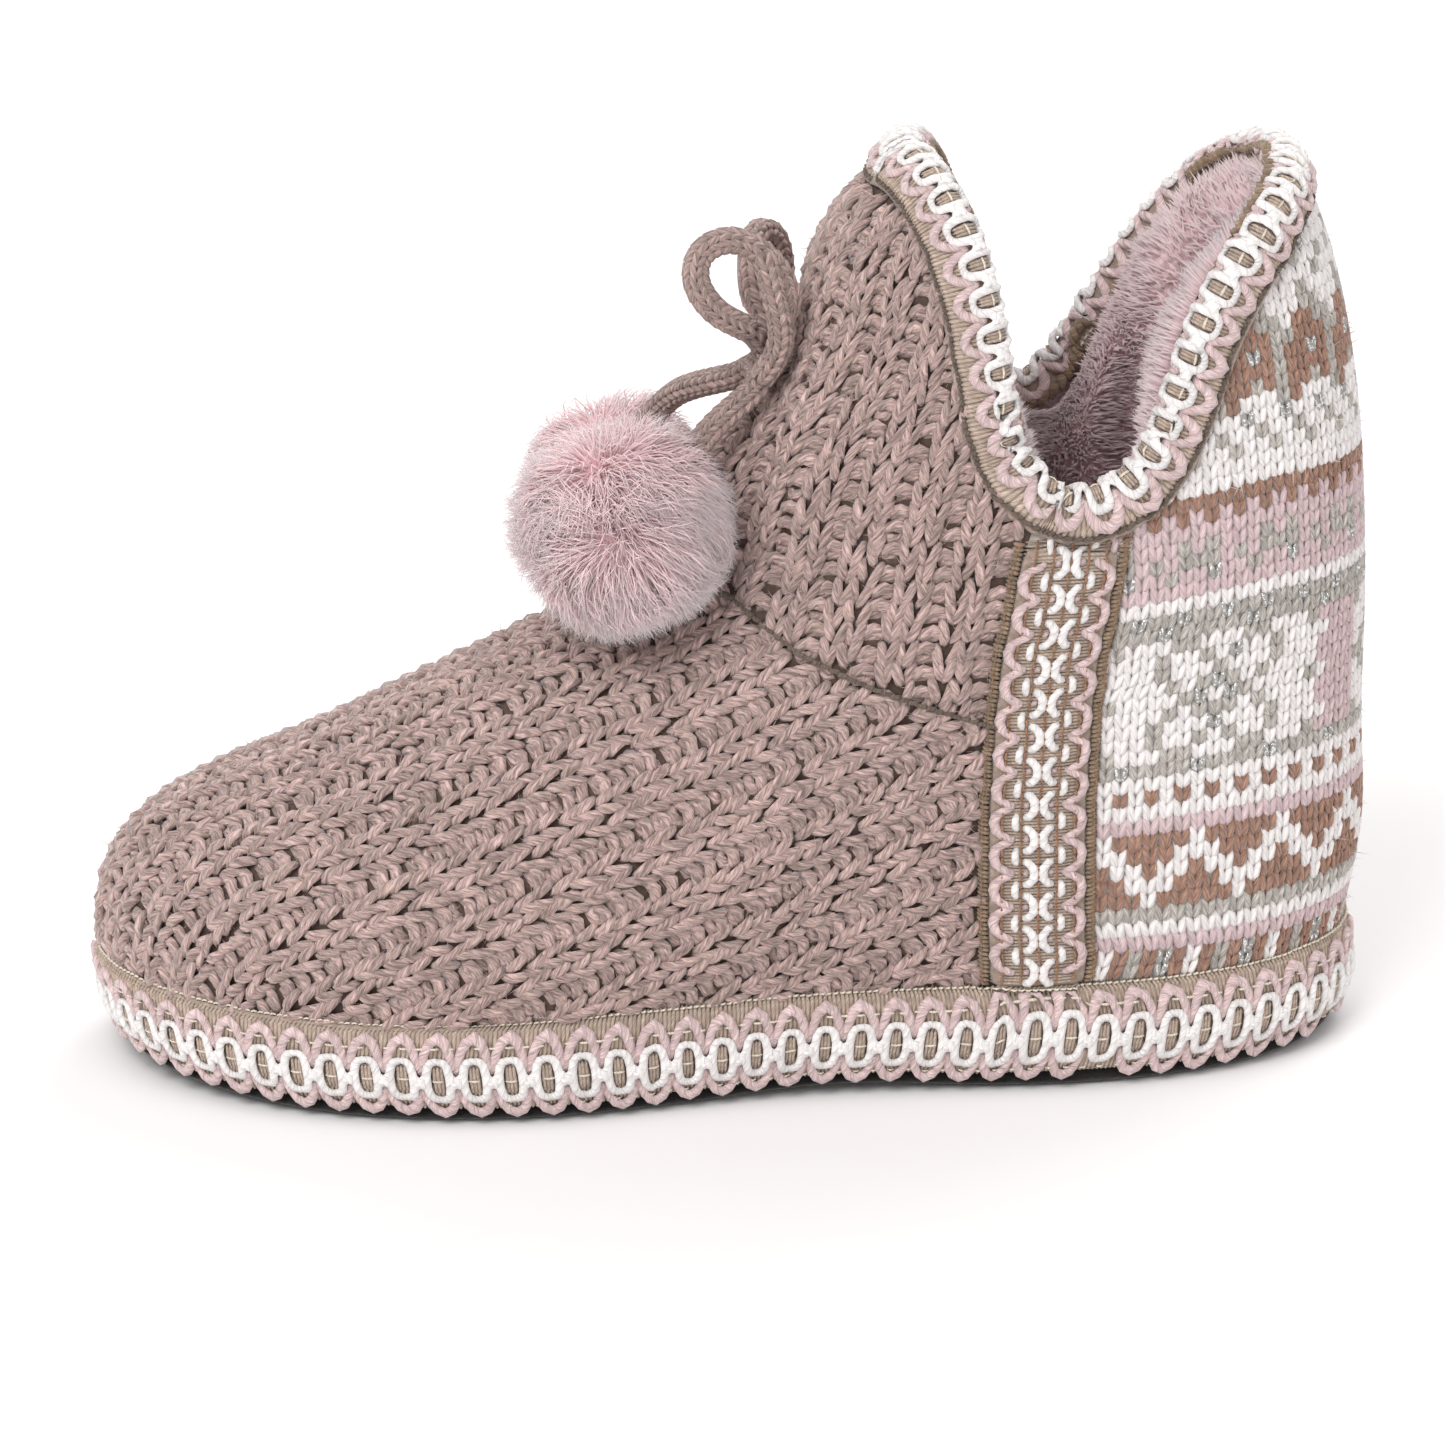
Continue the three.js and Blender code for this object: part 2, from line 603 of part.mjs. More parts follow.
add('upper', upper(), MATERIALS.knit);
add('outsole', outsole(), MATERIALS.sole);
add('insole', insole(), MATERIALS.footbed);
add('sole_braid', soleBraid(), MATERIALS.braid);
add('side_braid_outer', sideBraid(false), MATERIALS.braid);
add('side_braid_inner', sideBraid(true), MATERIALS.braid);
add('collar_braid', collarBraid(), MATERIALS.braid);
add('drawcord_knot', knot(), MATERIALS.cord);
add('drawcord_loop_outer', cord(LOOP_OUTER, 18), MATERIALS.cord);
add('drawcord_loop_inner', cord(LOOP_INNER, 16), MATERIALS.cord);
add('drawcord_end_outer', cord(END_OUTER, 8), MATERIALS.cord);
add('drawcord_end_inner', cord(END_INNER, 8), MATERIALS.cord);
add('pompom_outer', pompom(POMPOM_OUTER), MATERIALS.pompom);
add('pompom_inner', pompom(POMPOM_INNER), MATERIALS.pompom);

export default slipper;
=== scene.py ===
# %% [markdown]
# A knitted bootie slipper for the left foot, dressed piece by piece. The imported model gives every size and
# place. The toe points to -X, the outer side of the foot is -Y and +Z is up. Geometry is worked out in
# millimetres and turned to metres when a mesh is made.

import math

import bmesh
import bpy
import numpy as np
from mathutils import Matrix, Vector
from mathutils.bvhtree import BVHTree


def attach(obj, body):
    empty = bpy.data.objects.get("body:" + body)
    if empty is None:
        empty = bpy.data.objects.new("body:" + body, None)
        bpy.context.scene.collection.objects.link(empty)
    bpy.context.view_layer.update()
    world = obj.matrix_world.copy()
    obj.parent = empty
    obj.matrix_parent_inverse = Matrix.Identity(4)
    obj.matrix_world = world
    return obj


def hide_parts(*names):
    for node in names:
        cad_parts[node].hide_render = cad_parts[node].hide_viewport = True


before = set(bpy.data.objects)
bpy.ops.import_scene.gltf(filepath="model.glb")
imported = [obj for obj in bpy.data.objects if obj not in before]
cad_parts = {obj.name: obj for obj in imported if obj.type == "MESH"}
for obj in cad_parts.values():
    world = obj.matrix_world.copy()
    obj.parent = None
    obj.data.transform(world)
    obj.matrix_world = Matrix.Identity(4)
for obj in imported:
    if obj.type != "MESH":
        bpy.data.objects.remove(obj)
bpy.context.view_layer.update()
MM = 0.001
BODY = "root"
rng = np.random.default_rng(11)

# %% [markdown]
# The camera stands a little in front of the slipper's outer side and looks down on it from about a metre
# and a half. A long lens keeps the shape free of strong perspective. The small shift puts the slipper where
# the picture has it.

# %% Camera
AIM = Vector((0.0, 0.0, 88 * MM))
TURN = math.radians(6)
RISE = math.radians(19)
DISTANCE = 1.5
SENSOR = 36.0
LENS = 178.3
SHIFT = (-0.0059, -0.0571)

look = Vector((math.sin(TURN) * math.cos(RISE), math.cos(TURN) * math.cos(RISE), -math.sin(RISE)))
camera = bpy.data.objects.new("camera", bpy.data.cameras.new("camera"))
camera.data.lens = LENS
camera.data.sensor_width = SENSOR
camera.data.shift_x, camera.data.shift_y = SHIFT
camera.location = AIM - look * DISTANCE
camera.rotation_euler = look.to_track_quat("-Z", "Y").to_euler()
bpy.context.scene.collection.objects.link(camera)
bpy.context.scene.camera = camera
print("camera at", tuple(round(c, 3) for c in camera.location))

# %% [markdown]
# Colours are picked as the eye sees them, in sRGB hex, and one function turns them to the linear values
# that shaders use. One more small function adds a shader node with its settings and links.


# %% Colour and node helpers
def linear(code):
    """An sRGB hex colour as linear red, green, blue and alpha."""
    parts = [int(code[i : i + 2], 16) / 255 for i in (1, 3, 5)]
    return [c / 12.92 if c <= 0.04045 else ((c + 0.055) / 1.055) ** 2.4 for c in parts] + [1.0]


def add(tree, kind, inputs=None, **settings):
    """Adds one node. settings are its own properties, inputs are values or other nodes' outputs."""
    new = tree.nodes.new(kind)
    for key, value in settings.items():
        setattr(new, key, value)
    for key, value in (inputs or {}).items():
        if isinstance(value, bpy.types.NodeSocket):
            tree.links.new(value, new.inputs[key])
        else:
            new.inputs[key].default_value = value
    return new


def blank(name):
    """A new material with an empty node tree."""
    material = bpy.data.materials.new(name)
    material.use_nodes = True
    material.node_tree.nodes.clear()
    return material, material.node_tree


# %% [markdown]
# Spun yarn is plies of many fine fibres twisted round each other. The piece's own UV map runs round the
# yarn in one direction and along it, in millimetres, in the other, so a noise drawn out along a slanted
# line in UV gives the fibres and a slanted wave gives the plies, with painted shade in the grooves between
# them. A marled yarn mixes fibres of two colours.
# Its loose fibres scatter light at the edges, which is sheen.


# %% Yarn finishes
TWIST = 9.0  # millimetres of yarn for one turn of its two plies
FIBRES = 10.0  # bundles of fibres that show round the yarn


def yarn(name, first, second, twist=TWIST, relief=0.3, sheen=0.45, shade_range=0.24, streak=0.16, edge=0.1):
    """Twisted yarn whose fibres have two colours. edge is how sharply the two part."""
    material, tree = blank(name)
    spot = add(tree, "ShaderNodeTexCoord")
    uv = add(tree, "ShaderNodeSeparateXYZ", {0: spot.outputs["UV"]})
    tint = add(tree, "ShaderNodeAttribute", attribute_name="shade")
    turn = add(
        tree, "ShaderNodeMath", {0: uv.outputs["Y"], 1: 1 / twist, 2: uv.outputs["X"]},
        operation="MULTIPLY_ADD",
    )
    across = add(tree, "ShaderNodeMath", {0: turn.outputs[0], 1: FIBRES}, operation="MULTIPLY")
    along = add(tree, "ShaderNodeMath", {0: uv.outputs["Y"], 1: 0.4}, operation="MULTIPLY")
    apart = add(tree, "ShaderNodeMath", {0: tint.outputs["Fac"], 1: 57.0}, operation="MULTIPLY")
    place = add(
        tree, "ShaderNodeCombineXYZ", {0: across.outputs[0], 1: along.outputs[0], 2: apart.outputs[0]}
    )
    bundle = add(tree, "ShaderNodeTexNoise", {"Vector": place.outputs[0], "Scale": 1.0, "Detail": 1.0})
    fibre = add(tree, "ShaderNodeTexNoise", {"Vector": place.outputs[0], "Scale": 2.6, "Detail": 2.0})
    share = add(
        tree,
        "ShaderNodeMapRange",
        {"Value": fibre.outputs["Fac"], "From Min": 0.5 - edge, "From Max": 0.5 + edge},
    )
    colour = add(
        tree,
        "ShaderNodeMix",
        {"Factor": share.outputs["Result"], "A": linear(first), "B": linear(second)},
        data_type="RGBA",
    )
    angle = add(tree, "ShaderNodeMath", {0: turn.outputs[0], 1: math.tau}, operation="MULTIPLY")
    wave = add(tree, "ShaderNodeMath", {0: angle.outputs[0]}, operation="SINE")
    ply = add(tree, "ShaderNodeMath", {0: wave.outputs[0]}, operation="ABSOLUTE")
    level = add(
        tree,
        "ShaderNodeMapRange",
        {"Value": tint.outputs["Fac"], "To Min": 1 - shade_range / 2, "To Max": 1 + shade_range / 2},
    )
    # Painted shade: the yarn is darker in the grooves between its two plies
    groove = add(
        tree, "ShaderNodeMapRange",
        {"Value": ply.outputs[0], "From Max": 0.4, "To Min": 0.8, "To Max": 1.0},
    )
    mixed = add(
        tree, "ShaderNodeMath", {0: fibre.outputs["Fac"], 1: 0.5, 2: bundle.outputs["Fac"]},
        operation="MULTIPLY_ADD",
    )
    speck = add(
        tree,
        "ShaderNodeMapRange",
        {
            "Value": mixed.outputs[0], "From Min": 0.55, "From Max": 0.95, "To Min": 1 - streak,
            "To Max": 1 + streak,
        },
    )
    tone_and_groove_shade = add(
        tree, "ShaderNodeMath", {0: level.outputs["Result"], 1: groove.outputs["Result"]},
        operation="MULTIPLY",
    )
    value = add(
        tree, "ShaderNodeMath", {0: tone_and_groove_shade.outputs[0], 1: speck.outputs["Result"]}, operation="MULTIPLY"
    )
    final = add(
        tree, "ShaderNodeHueSaturation", {"Color": colour.outputs["Result"], "Value": value.outputs[0]}
    )
    height = add(
        tree, "ShaderNodeMath", {0: fibre.outputs["Fac"], 1: 0.9, 2: ply.outputs[0]},
        operation="MULTIPLY_ADD",
    )
    bump = add(
        tree, "ShaderNodeBump", {"Height": height.outputs[0], "Distance": relief * MM, "Strength": 0.9}
    )
    shader = add(
        tree,
        "ShaderNodeBsdfPrincipled",
        {
            "Base Color": final.outputs["Color"],
            "Normal": bump.outputs["Normal"],
            "Roughness": 0.95,
            "Specular IOR Level": 0.2,
            "Sheen Weight": sheen,
            "Sheen Roughness": 0.5,
        },
    )
    add(tree, "ShaderNodeOutputMaterial", {"Surface": shader.outputs[0]})
    return material


# Knitting yarns: matt and soft at the edges, with a strong mix of two colours in the marled ones
MARL = yarn("marled_wool_blend_yarn", "#A69286", "#C9AAA8", relief=0.5, streak=0.36, edge=0.12)
MARL_CORD = yarn("marled_cord_yarn", "#99847B", "#BA9C96", twist=6.0, relief=0.4, streak=0.32)
WHITE_YARN = yarn(
    "soft_white_acrylic_yarn", "#ECE6E4", "#F8F4F3", relief=0.2, shade_range=0.08, streak=0.05
)
PINK_YARN = yarn("dusty_pink_acrylic_yarn", "#CFB6B8", "#DFC9CB", relief=0.2, shade_range=0.12, streak=0.1)
BROWN_YARN = yarn("brown_acrylic_yarn", "#916C5C", "#B08B78", relief=0.2, shade_range=0.2, streak=0.2)
GREY_YARN = yarn("grey_acrylic_yarn", "#A8A19A", "#CBC5BE", relief=0.2, shade_range=0.2, streak=0.2)
# Gimp cords: wound tight, so their plies show as short slanted ridges
GIMP_WHITE = yarn(
    "white_gimp_cord", "#EFEAE8", "#FBF8F7", twist=2.4, relief=0.2, shade_range=0.08, streak=0.07
)
GIMP_PINK = yarn(
    "pink_gimp_cord", "#D3B6B5", "#E9D2D1", twist=3.2, relief=0.35, shade_range=0.12, streak=0.16
)
# Sewing threads and wefts: fine and smooth, with little fuzz
TAN_THREAD = yarn(
    "tan_filament_thread", "#B29E8D", "#CFBCAE", twist=1.6, relief=0.12, sheen=0.25, shade_range=0.24
)
CREAM_THREAD = yarn(
    "cream_sewing_thread", "#E9DEC8", "#F6EDDD", twist=0.9, relief=0.1, sheen=0.2, shade_range=0.1
)
BROWN_THREAD = yarn(
    "copper_brown_sewing_thread", "#95694D", "#B58A6C", twist=0.9, relief=0.1, sheen=0.2, shade_range=0.3
)
DARK_THREAD = yarn(
    "overlock_edge_thread", "#86725F", "#AB947C", twist=1.4, relief=0.15, sheen=0.25, shade_range=0.4
)
SEAM_THREAD = yarn(
    "dark_seam_thread", "#5D5047", "#7E6E62", twist=1.4, relief=0.15, sheen=0.25, shade_range=0.3
)

# %% [markdown]
# The silver thread that runs with the grey yarn is a flat strip of metallised film. It is a rough metal
# with a grain that turns a few spots bright.

# %% Metallised thread and the plain grounds
def lurex():
    """Grey yarn with a silver strip wound round it."""
    material, tree = blank("metallised_film_thread")
    spot = add(tree, "ShaderNodeTexCoord")
    grain = add(
        tree, "ShaderNodeTexNoise",
        {"Vector": spot.outputs["Object"], "Scale": 1 / (0.6 * MM), "Detail": 2.0},
    )
    mask = add(
        tree, "ShaderNodeMapRange", {"Value": grain.outputs["Fac"], "From Min": 0.5, "From Max": 0.58}
    )
    bump = add(tree, "ShaderNodeBump", {"Height": grain.outputs["Fac"], "Distance": 0.4 * MM})
    wool = add(
        tree, "ShaderNodeBsdfPrincipled",
        {"Base Color": linear("#9A9792"), "Roughness": 0.9, "Sheen Weight": 0.3},
    )
    film = add(
        tree,
        "ShaderNodeBsdfPrincipled",
        {
            "Base Color": linear("#E9E9EA"), "Metallic": 1.0, "Roughness": 0.25,
            "Normal": bump.outputs["Normal"],
        },
    )
    both = add(
        tree, "ShaderNodeMixShader", {0: mask.outputs["Result"], 1: wool.outputs[0], 2: film.outputs[0]}
    )
    add(tree, "ShaderNodeOutputMaterial", {"Surface": both.outputs[0]})
    return material


def cloth(name, code, spread=0.25, grain=1.2, relief=0.3, sheen=0.3):
    """A plain fibrous ground: soft blotches of light and dark and a little relief."""
    material, tree = blank(name)
    spot = add(tree, "ShaderNodeTexCoord")
    noise = add(
        tree, "ShaderNodeTexNoise",
        {"Vector": spot.outputs["Object"], "Scale": 1 / (grain * MM), "Detail": 4.0},
    )
    value = add(
        tree,
        "ShaderNodeMapRange",
        {
            "Value": noise.outputs["Fac"], "From Min": 0.3, "From Max": 0.7, "To Min": 1 - spread,
            "To Max": 1 + spread,
        },
    )
    colour = add(tree, "ShaderNodeHueSaturation", {"Color": linear(code), "Value": value.outputs["Result"]})
    bump = add(tree, "ShaderNodeBump", {"Height": noise.outputs["Fac"], "Distance": relief * MM})
    shader = add(
        tree,
        "ShaderNodeBsdfPrincipled",
        {
            "Base Color": colour.outputs["Color"],
            "Normal": bump.outputs["Normal"],
            "Roughness": 0.95,
            "Specular IOR Level": 0.2,
            "Sheen Weight": sheen,
        },
    )
    add(tree, "ShaderNodeOutputMaterial", {"Surface": shader.outputs[0]})
    return material


def fur(name, root, tip, spread=0.3, sheen=0.4):
    """Faux fur: each hair goes from a darker root, painted shade deep in the pile, to a lighter tip, and
    hairs differ a little.
    """
    material, tree = blank(name)
    spot = add(tree, "ShaderNodeTexCoord")
    uv = add(tree, "ShaderNodeSeparateXYZ", {0: spot.outputs["UV"]})
    tint = add(tree, "ShaderNodeAttribute", attribute_name="shade")
    # Painted shade: each hair is darker toward its root, as the pile shades its own roots
    colour = add(
        tree,
        "ShaderNodeMix",
        {"Factor": uv.outputs["Y"], "A": linear(root), "B": linear(tip)},
        data_type="RGBA",
    )
    value = add(
        tree,
        "ShaderNodeMapRange",
        {"Value": tint.outputs["Fac"], "To Min": 1 - spread / 2, "To Max": 1 + spread / 2},
    )
    final = add(
        tree, "ShaderNodeHueSaturation",
        {"Color": colour.outputs["Result"], "Value": value.outputs["Result"]},
    )
    shader = add(
        tree,
        "ShaderNodeBsdfPrincipled",
        {
            "Base Color": final.outputs["Color"],
            "Roughness": 0.6,
            "Specular IOR Level": 0.3,
            "Sheen Weight": sheen,
        },
    )
    add(tree, "ShaderNodeOutputMaterial", {"Surface": shader.outputs[0]})
    return material


LUREX = lurex()
# Grounds: what shows between stitches, cords and hairs, dull and blotchy. The grounds under the knit
# stitches are painted shade, dark under the rib and grey under the heel panel, so that gaps read as depth
KNIT_SHADOW = cloth("marl_knit_painted_shade", "#5C4C45", sheen=0.1)
# Painted shade: a grey ground that shows as the shaded gaps between the heel panel's light stitches
PANEL_SHADOW = cloth("heel_panel_painted_shade", "#BDB2AD")
LINING_GROUND = cloth("fur_lining_backing", "#E0C3C6", grain=1.6, relief=1.2)
TAPE_GROUND = cloth("braid_tape_ground", "#A18F83")
SOLE_GROUND = cloth("ribbed_textile_sole", "#353333")
FOOTBED_GROUND = cloth("footbed_plush", "#B08F94", grain=3.0)
# Furs: pale at the tips and darker at the roots, which is painted shade deep in the pile, with a soft glow
# at the edges where fine hairs scatter the light
FUR_LINING = fur("faux_fur_lining", "#D6B6BA", "#FBE9EA", 0.2)
FUR_POMPOM = fur("faux_fur_pompom", "#F3CACE", "#FFEBED", 0.14, 0.8)

# %% [markdown]
# Knit, braid and fur are many small pieces. Each kind is shaped once with bmesh as a template, laid many
# times on the slipper with array arithmetic, and kept as one joined mesh with a UV map and a shade value
# for each copy.


# %% Curves and directions
def unit(vectors, soft=0.0):
    """The vectors at length one. soft keeps a zero vector from being divided by nothing."""
    return vectors / (np.linalg.norm(vectors, axis=-1, keepdims=True) + soft)


def line_length(line):
    """The whole length of a polyline."""
    return np.linalg.norm(np.diff(line, axis=0), axis=1).sum()


def lengths_along(line):
    """How far along a polyline each of its points lies."""
    return np.concatenate([[0], np.cumsum(np.linalg.norm(np.diff(line, axis=0), axis=1))])


def points_at(line, length, places):
    """Points of a polyline at the given places, where length says how far along its own points lie."""
    return np.stack([np.interp(places, length, line[:, k]) for k in range(3)], axis=1)


def spline(points, t):
    """Points of a smooth curve through the given ones, at values of t from 0 to 1."""
    points = np.asarray(points, float)
    count = len(points) - 1
    padded = np.vstack([2 * points[0] - points[1], points, 2 * points[-1] - points[-2]])
    place = np.clip(np.asarray(t, float), 0, 1) * count
    i = np.minimum(place.astype(int), count - 1)
    f = (place - i)[:, None]
    a, b, c, d = (padded[i + k] for k in range(4))
    return 0.5 * (2 * b + (c - a) * f + (2 * a - 5 * b + 4 * c - d) * f**2 + (3 * b - a - 3 * c + d) * f**3)


# %% Templates
def template_of(bm):
    """The vertices, corners and UVs of a bmesh as arrays."""
    layer = bm.loops.layers.uv["UVMap"]
    bm.verts.index_update()
    loops = [loop for face in bm.faces for loop in face.loops]
    shape = {
        "points": np.array([v.co[:] for v in bm.verts]),
        "corners": np.array([loop.vert.index for loop in loops]),
        "uv": np.array([loop[layer].uv[:] for loop in loops]),
        "sizes": np.array([len(face.loops) for face in bm.faces]),
    }
    bm.free()
    return shape


def strand(path, width, depth=None, sides=5, rings=6, fullness=0.45):
    """A plump stretch of yarn along a short path in millimetres: x across, y along, z out of the fabric."""
    depth = depth or width
    bm = bmesh.new()
    bm.loops.layers.uv.new("UVMap")
    bmesh.ops.create_uvsphere(bm, u_segments=sides, v_segments=rings, radius=1.0, calc_uvs=True)
    shape = template_of(bm)
    ball = shape["points"]
    t = (ball[:, 2] + 1) / 2
    centre = spline(path, t)
    step = spline(path, np.clip(t + 0.02, 0, 1)) - spline(path, np.clip(t - 0.02, 0, 1))
    step = unit(step)
    side = unit(np.cross(step, [0.0, 0.0, 1.0]), 1e-9)
    rise = np.cross(side, step)
    radius = np.sqrt(np.maximum(0, 1 - ball[:, 2] ** 2))
    full = np.where(radius > 1e-6, np.maximum(radius, 1e-6) ** (fullness - 1), 0)[:, None]
    shape["points"] = centre + full * (side * ball[:, :1] * width / 2 + rise * ball[:, 1:2] * depth / 2)
    shape["uv"] = shape["uv"] * [1.0, line_length(spline(path, np.linspace(0, 1, 20)))]
    return shape


def mirrored(shape):
    """The same template turned left for right."""
    other = dict(shape)
    other["points"] = shape["points"] * [-1.0, 1.0, 1.0]
    ends = np.cumsum(shape["sizes"])
    order = np.concatenate(
        [np.arange(end - 1, end - size - 1, -1) for end, size in zip(ends, shape["sizes"])]
    )
    other["corners"] = shape["corners"][order]
    other["uv"] = shape["uv"][order]
    return other


# %% Pieces
def joined(name, parts, materials, hides=()):
    """One piece from parts, each a template, its copies' points, a material index and shades."""
    points, corners, sizes, uv, finish, shade = [], [], [], [], [], []
    start = 0
    for shape, placed, which, tint in parts:
        count, size = placed.shape[:2]
        first = start + size * np.arange(count)
        points.append(placed.reshape(-1, 3))
        corners.append((shape["corners"][None, :] + first[:, None]).ravel())
        sizes.append(np.tile(shape["sizes"], count))
        uv.append(np.tile(shape["uv"], (count, 1)))
        finish.append(np.repeat(np.broadcast_to(which, count), len(shape["sizes"])))
        shade.append(np.repeat(np.broadcast_to(tint, count), size))
        start += count * size
    points, corners, sizes, uv, finish, shade = map(
        np.concatenate, (points, corners, sizes, uv, finish, shade)
    )
    mesh = bpy.data.meshes.new(name)
    mesh.vertices.add(len(points))
    mesh.vertices.foreach_set("co", (points * MM).astype(np.float32).ravel())
    mesh.loops.add(len(corners))
    mesh.loops.foreach_set("vertex_index", corners.astype(np.int32))
    mesh.polygons.add(len(sizes))
    mesh.polygons.foreach_set("loop_start", (np.cumsum(sizes) - sizes).astype(np.int32))
    mesh.polygons.foreach_set("material_index", finish.astype(np.int32))
    mesh.polygons.foreach_set("use_smooth", np.ones(len(sizes), bool))
    mesh.uv_layers.new(name="UVMap")
    mesh.uv_layers["UVMap"].data.foreach_set("uv", uv.astype(np.float32).ravel())
    mesh.attributes.new("shade", "FLOAT", "POINT").data.foreach_set("value", shade.astype(np.float32))
    mesh.update(calc_edges=True)
    for material in materials:
        mesh.materials.append(material)
    print(name, int((sizes - 2).sum()), "triangles")
    return placed_piece(name, mesh, hides)


def placed_piece(name, mesh, hides=()):
    """A finished mesh as an object that rides on the slipper's one body and stands for the named nodes."""
    piece = bpy.data.objects.new(name, mesh)
    bpy.context.scene.collection.objects.link(piece)
    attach(piece, BODY)
    if hides:
        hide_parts(*hides)
    return piece


# %% [markdown]
# Faux fur is thousands of fine hairs, and spun yarn has loose fibres that stand off it as fuzz. A long hair
# is a thin three-sided spike that is cut once across, so that it can bow. A short one is a plain spike.


# %% Hairs
def hair_template(cuts):
    """A spike one unit long, cut across so many times."""
    bm = bmesh.new()
    layer = bm.loops.layers.uv.new("UVMap")
    bmesh.ops.create_cone(bm, cap_ends=False, segments=3, radius1=1.0, radius2=0.0, depth=1.0)
    bmesh.ops.translate(bm, verts=bm.verts, vec=(0, 0, 0.5))
    for step in range(cuts):
        place = (0, 0, (step + 1) / (cuts + 1))
        bmesh.ops.bisect_plane(
            bm, geom=bm.verts[:] + bm.edges[:] + bm.faces[:], plane_co=place, plane_no=(0, 0, 1)
        )
    for face in bm.faces:
        for loop in face.loops:
            loop[layer].uv = (0.5, loop.vert.co.z)
    return template_of(bm)


LONG_HAIR, SHORT_HAIR = hair_template(1), hair_template(0)
FUZZ_LENGTH = (1.6, 4.2)
FUZZ_THICKNESS = 0.09


def hairs(shape, roots, tips, bow, thickness):
    """Copies of a hair from roots to tips, bowed sideways by the vectors bow."""
    way = unit(tips - roots)
    side = unit(np.cross(way, [0.31, 0.57, 0.76]))
    other = np.cross(way, side)
    x, y, t = (shape["points"][:, k][None, :, None] for k in range(3))
    thick = np.broadcast_to(thickness, len(roots))[:, None, None]
    centre = roots[:, None] + (tips - roots)[:, None] * t + bow[:, None] * (4 * t * (1 - t))
    return centre + thick * (side[:, None] * x + other[:, None] * y)


def fuzz(parts, count):
    """Loose fibres that leave the stitches of the given parts at random places, as one more part for each.
    They are a little lighter than the yarn, a painted highlight.
    """
    total = sum(len(placed) for shape, placed, which, tint in parts)
    loose = []
    for shape, placed, which, tint in parts:
        share = round(count * len(placed) / total)
        copy = rng.integers(0, len(placed), share)
        corner = rng.integers(0, placed.shape[1], share)
        roots = placed[copy, corner]
        out = unit(roots - placed[copy].mean(1), 1e-6)
        way = unit(0.5 * out + rng.normal(0, 0.6, roots.shape))
        tips = roots + way * rng.uniform(*FUZZ_LENGTH, share)[:, None]
        fibres = hairs(SHORT_HAIR, roots - 0.3 * way, tips, np.zeros((share, 3)), FUZZ_THICKNESS)
        kinds = np.broadcast_to(which, len(placed))[copy]
        # Painted highlight: loose fibres take a shade near the top of the yarn's range, so they are a little
        # lighter
        loose.append((SHORT_HAIR, fibres, kinds, np.full(share, 0.9)))
    return loose


def even_ball(count):
    """Directions spread evenly over a ball."""
    k = np.arange(count) + 0.5
    rise = 1 - 2 * k / count
    turn = k * math.pi * (3 - math.sqrt(5))
    flat = np.sqrt(1 - rise**2)
    return np.stack([flat * np.cos(turn), flat * np.sin(turn), rise], axis=1)


# %% [markdown]
# The solids are faceted, so each visible one gets a smooth skin first: its own mesh, merged, turned to
# four-sided faces and subdivided. Every stitch is later laid on these skins by rays.


# %% Smooth skins of the solids
def smooth_mesh(node, levels):
    """A merged and subdivided copy of a node's mesh."""
    bm = bmesh.new()
    bm.from_mesh(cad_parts[node].data)
    bmesh.ops.remove_doubles(bm, verts=bm.verts, dist=0.02 * MM)
    bmesh.ops.join_triangles(
        bm, faces=bm.faces, angle_face_threshold=math.radians(50), angle_shape_threshold=math.radians(70)
    )
    mesh = bpy.data.meshes.new(node + "_merged")
    bm.to_mesh(mesh)
    bm.free()
    holder = bpy.data.objects.new(node + "_merged", mesh)
    bpy.context.scene.collection.objects.link(holder)
    modifier = holder.modifiers.new("smooth", "SUBSURF")
    modifier.levels = modifier.render_levels = levels
    depsgraph = bpy.context.evaluated_depsgraph_get()
    finished = bpy.data.meshes.new_from_object(holder.evaluated_get(depsgraph))
    bpy.data.objects.remove(holder)
    bpy.data.meshes.remove(mesh)
    finished.polygons.foreach_set("use_smooth", np.ones(len(finished.polygons), bool))
    return finished


def skin_piece(name, node, levels, material):
    """A solid's smooth skin in one material, as the piece that stands for the solid."""
    skin = smooth_mesh(node, levels)
    skin.materials.append(material)
    return placed_piece(name, skin, (node,))


# %% Rays onto a skin
FAR = 220.0  # millimetres from the middle of the slipper to where level rays start
FAR_ASIDE = 90.0  # the same for rays that come square from one side


def points_of(mesh):
    """A mesh's vertices in millimetres."""
    co = np.empty(len(mesh.vertices) * 3, np.float32)
    mesh.vertices.foreach_get("co", co)
    return co.reshape(-1, 3).astype(float) / MM


def normals_of(mesh):
    """A mesh's vertex normals."""
    co = np.empty(len(mesh.vertices) * 3, np.float32)
    mesh.vertex_normals.foreach_get("vector", co)
    return co.reshape(-1, 3).astype(float)


def tree_of(mesh):
    """A search tree in millimetres for rays onto a mesh."""
    return BVHTree.FromPolygons(points_of(mesh).tolist(), [tuple(p.vertices) for p in mesh.polygons])


def hit(tree, origin, direction):
    """Where a ray first meets the mesh, or a row of NaN."""
    spot = tree.ray_cast(Vector(origin), Vector(direction).normalized())[0]
    return np.array(spot[:]) if spot is not None else np.full(3, np.nan)


def level_hit(tree, way, z, axis=0.0):
    """Where a level ray from the direction way, aimed at an upright axis, first meets the mesh."""
    return hit(tree, np.array([axis, 0.0, z]) + way * FAR, -way)


def side_hit(tree, x, z, sign):
    """Where a ray from one side of the slipper first meets the mesh."""
    return hit(tree, (x, sign * FAR_ASIDE, z), (0, -sign, 0))


# %% [markdown]
# The drawcord gathers the shaft, which gives soft troughs between ridges. Each is a line in the slipper's
# own millimetres with a depth, below zero for a ridge, and half a width. They are pressed in along the
# surface normals.

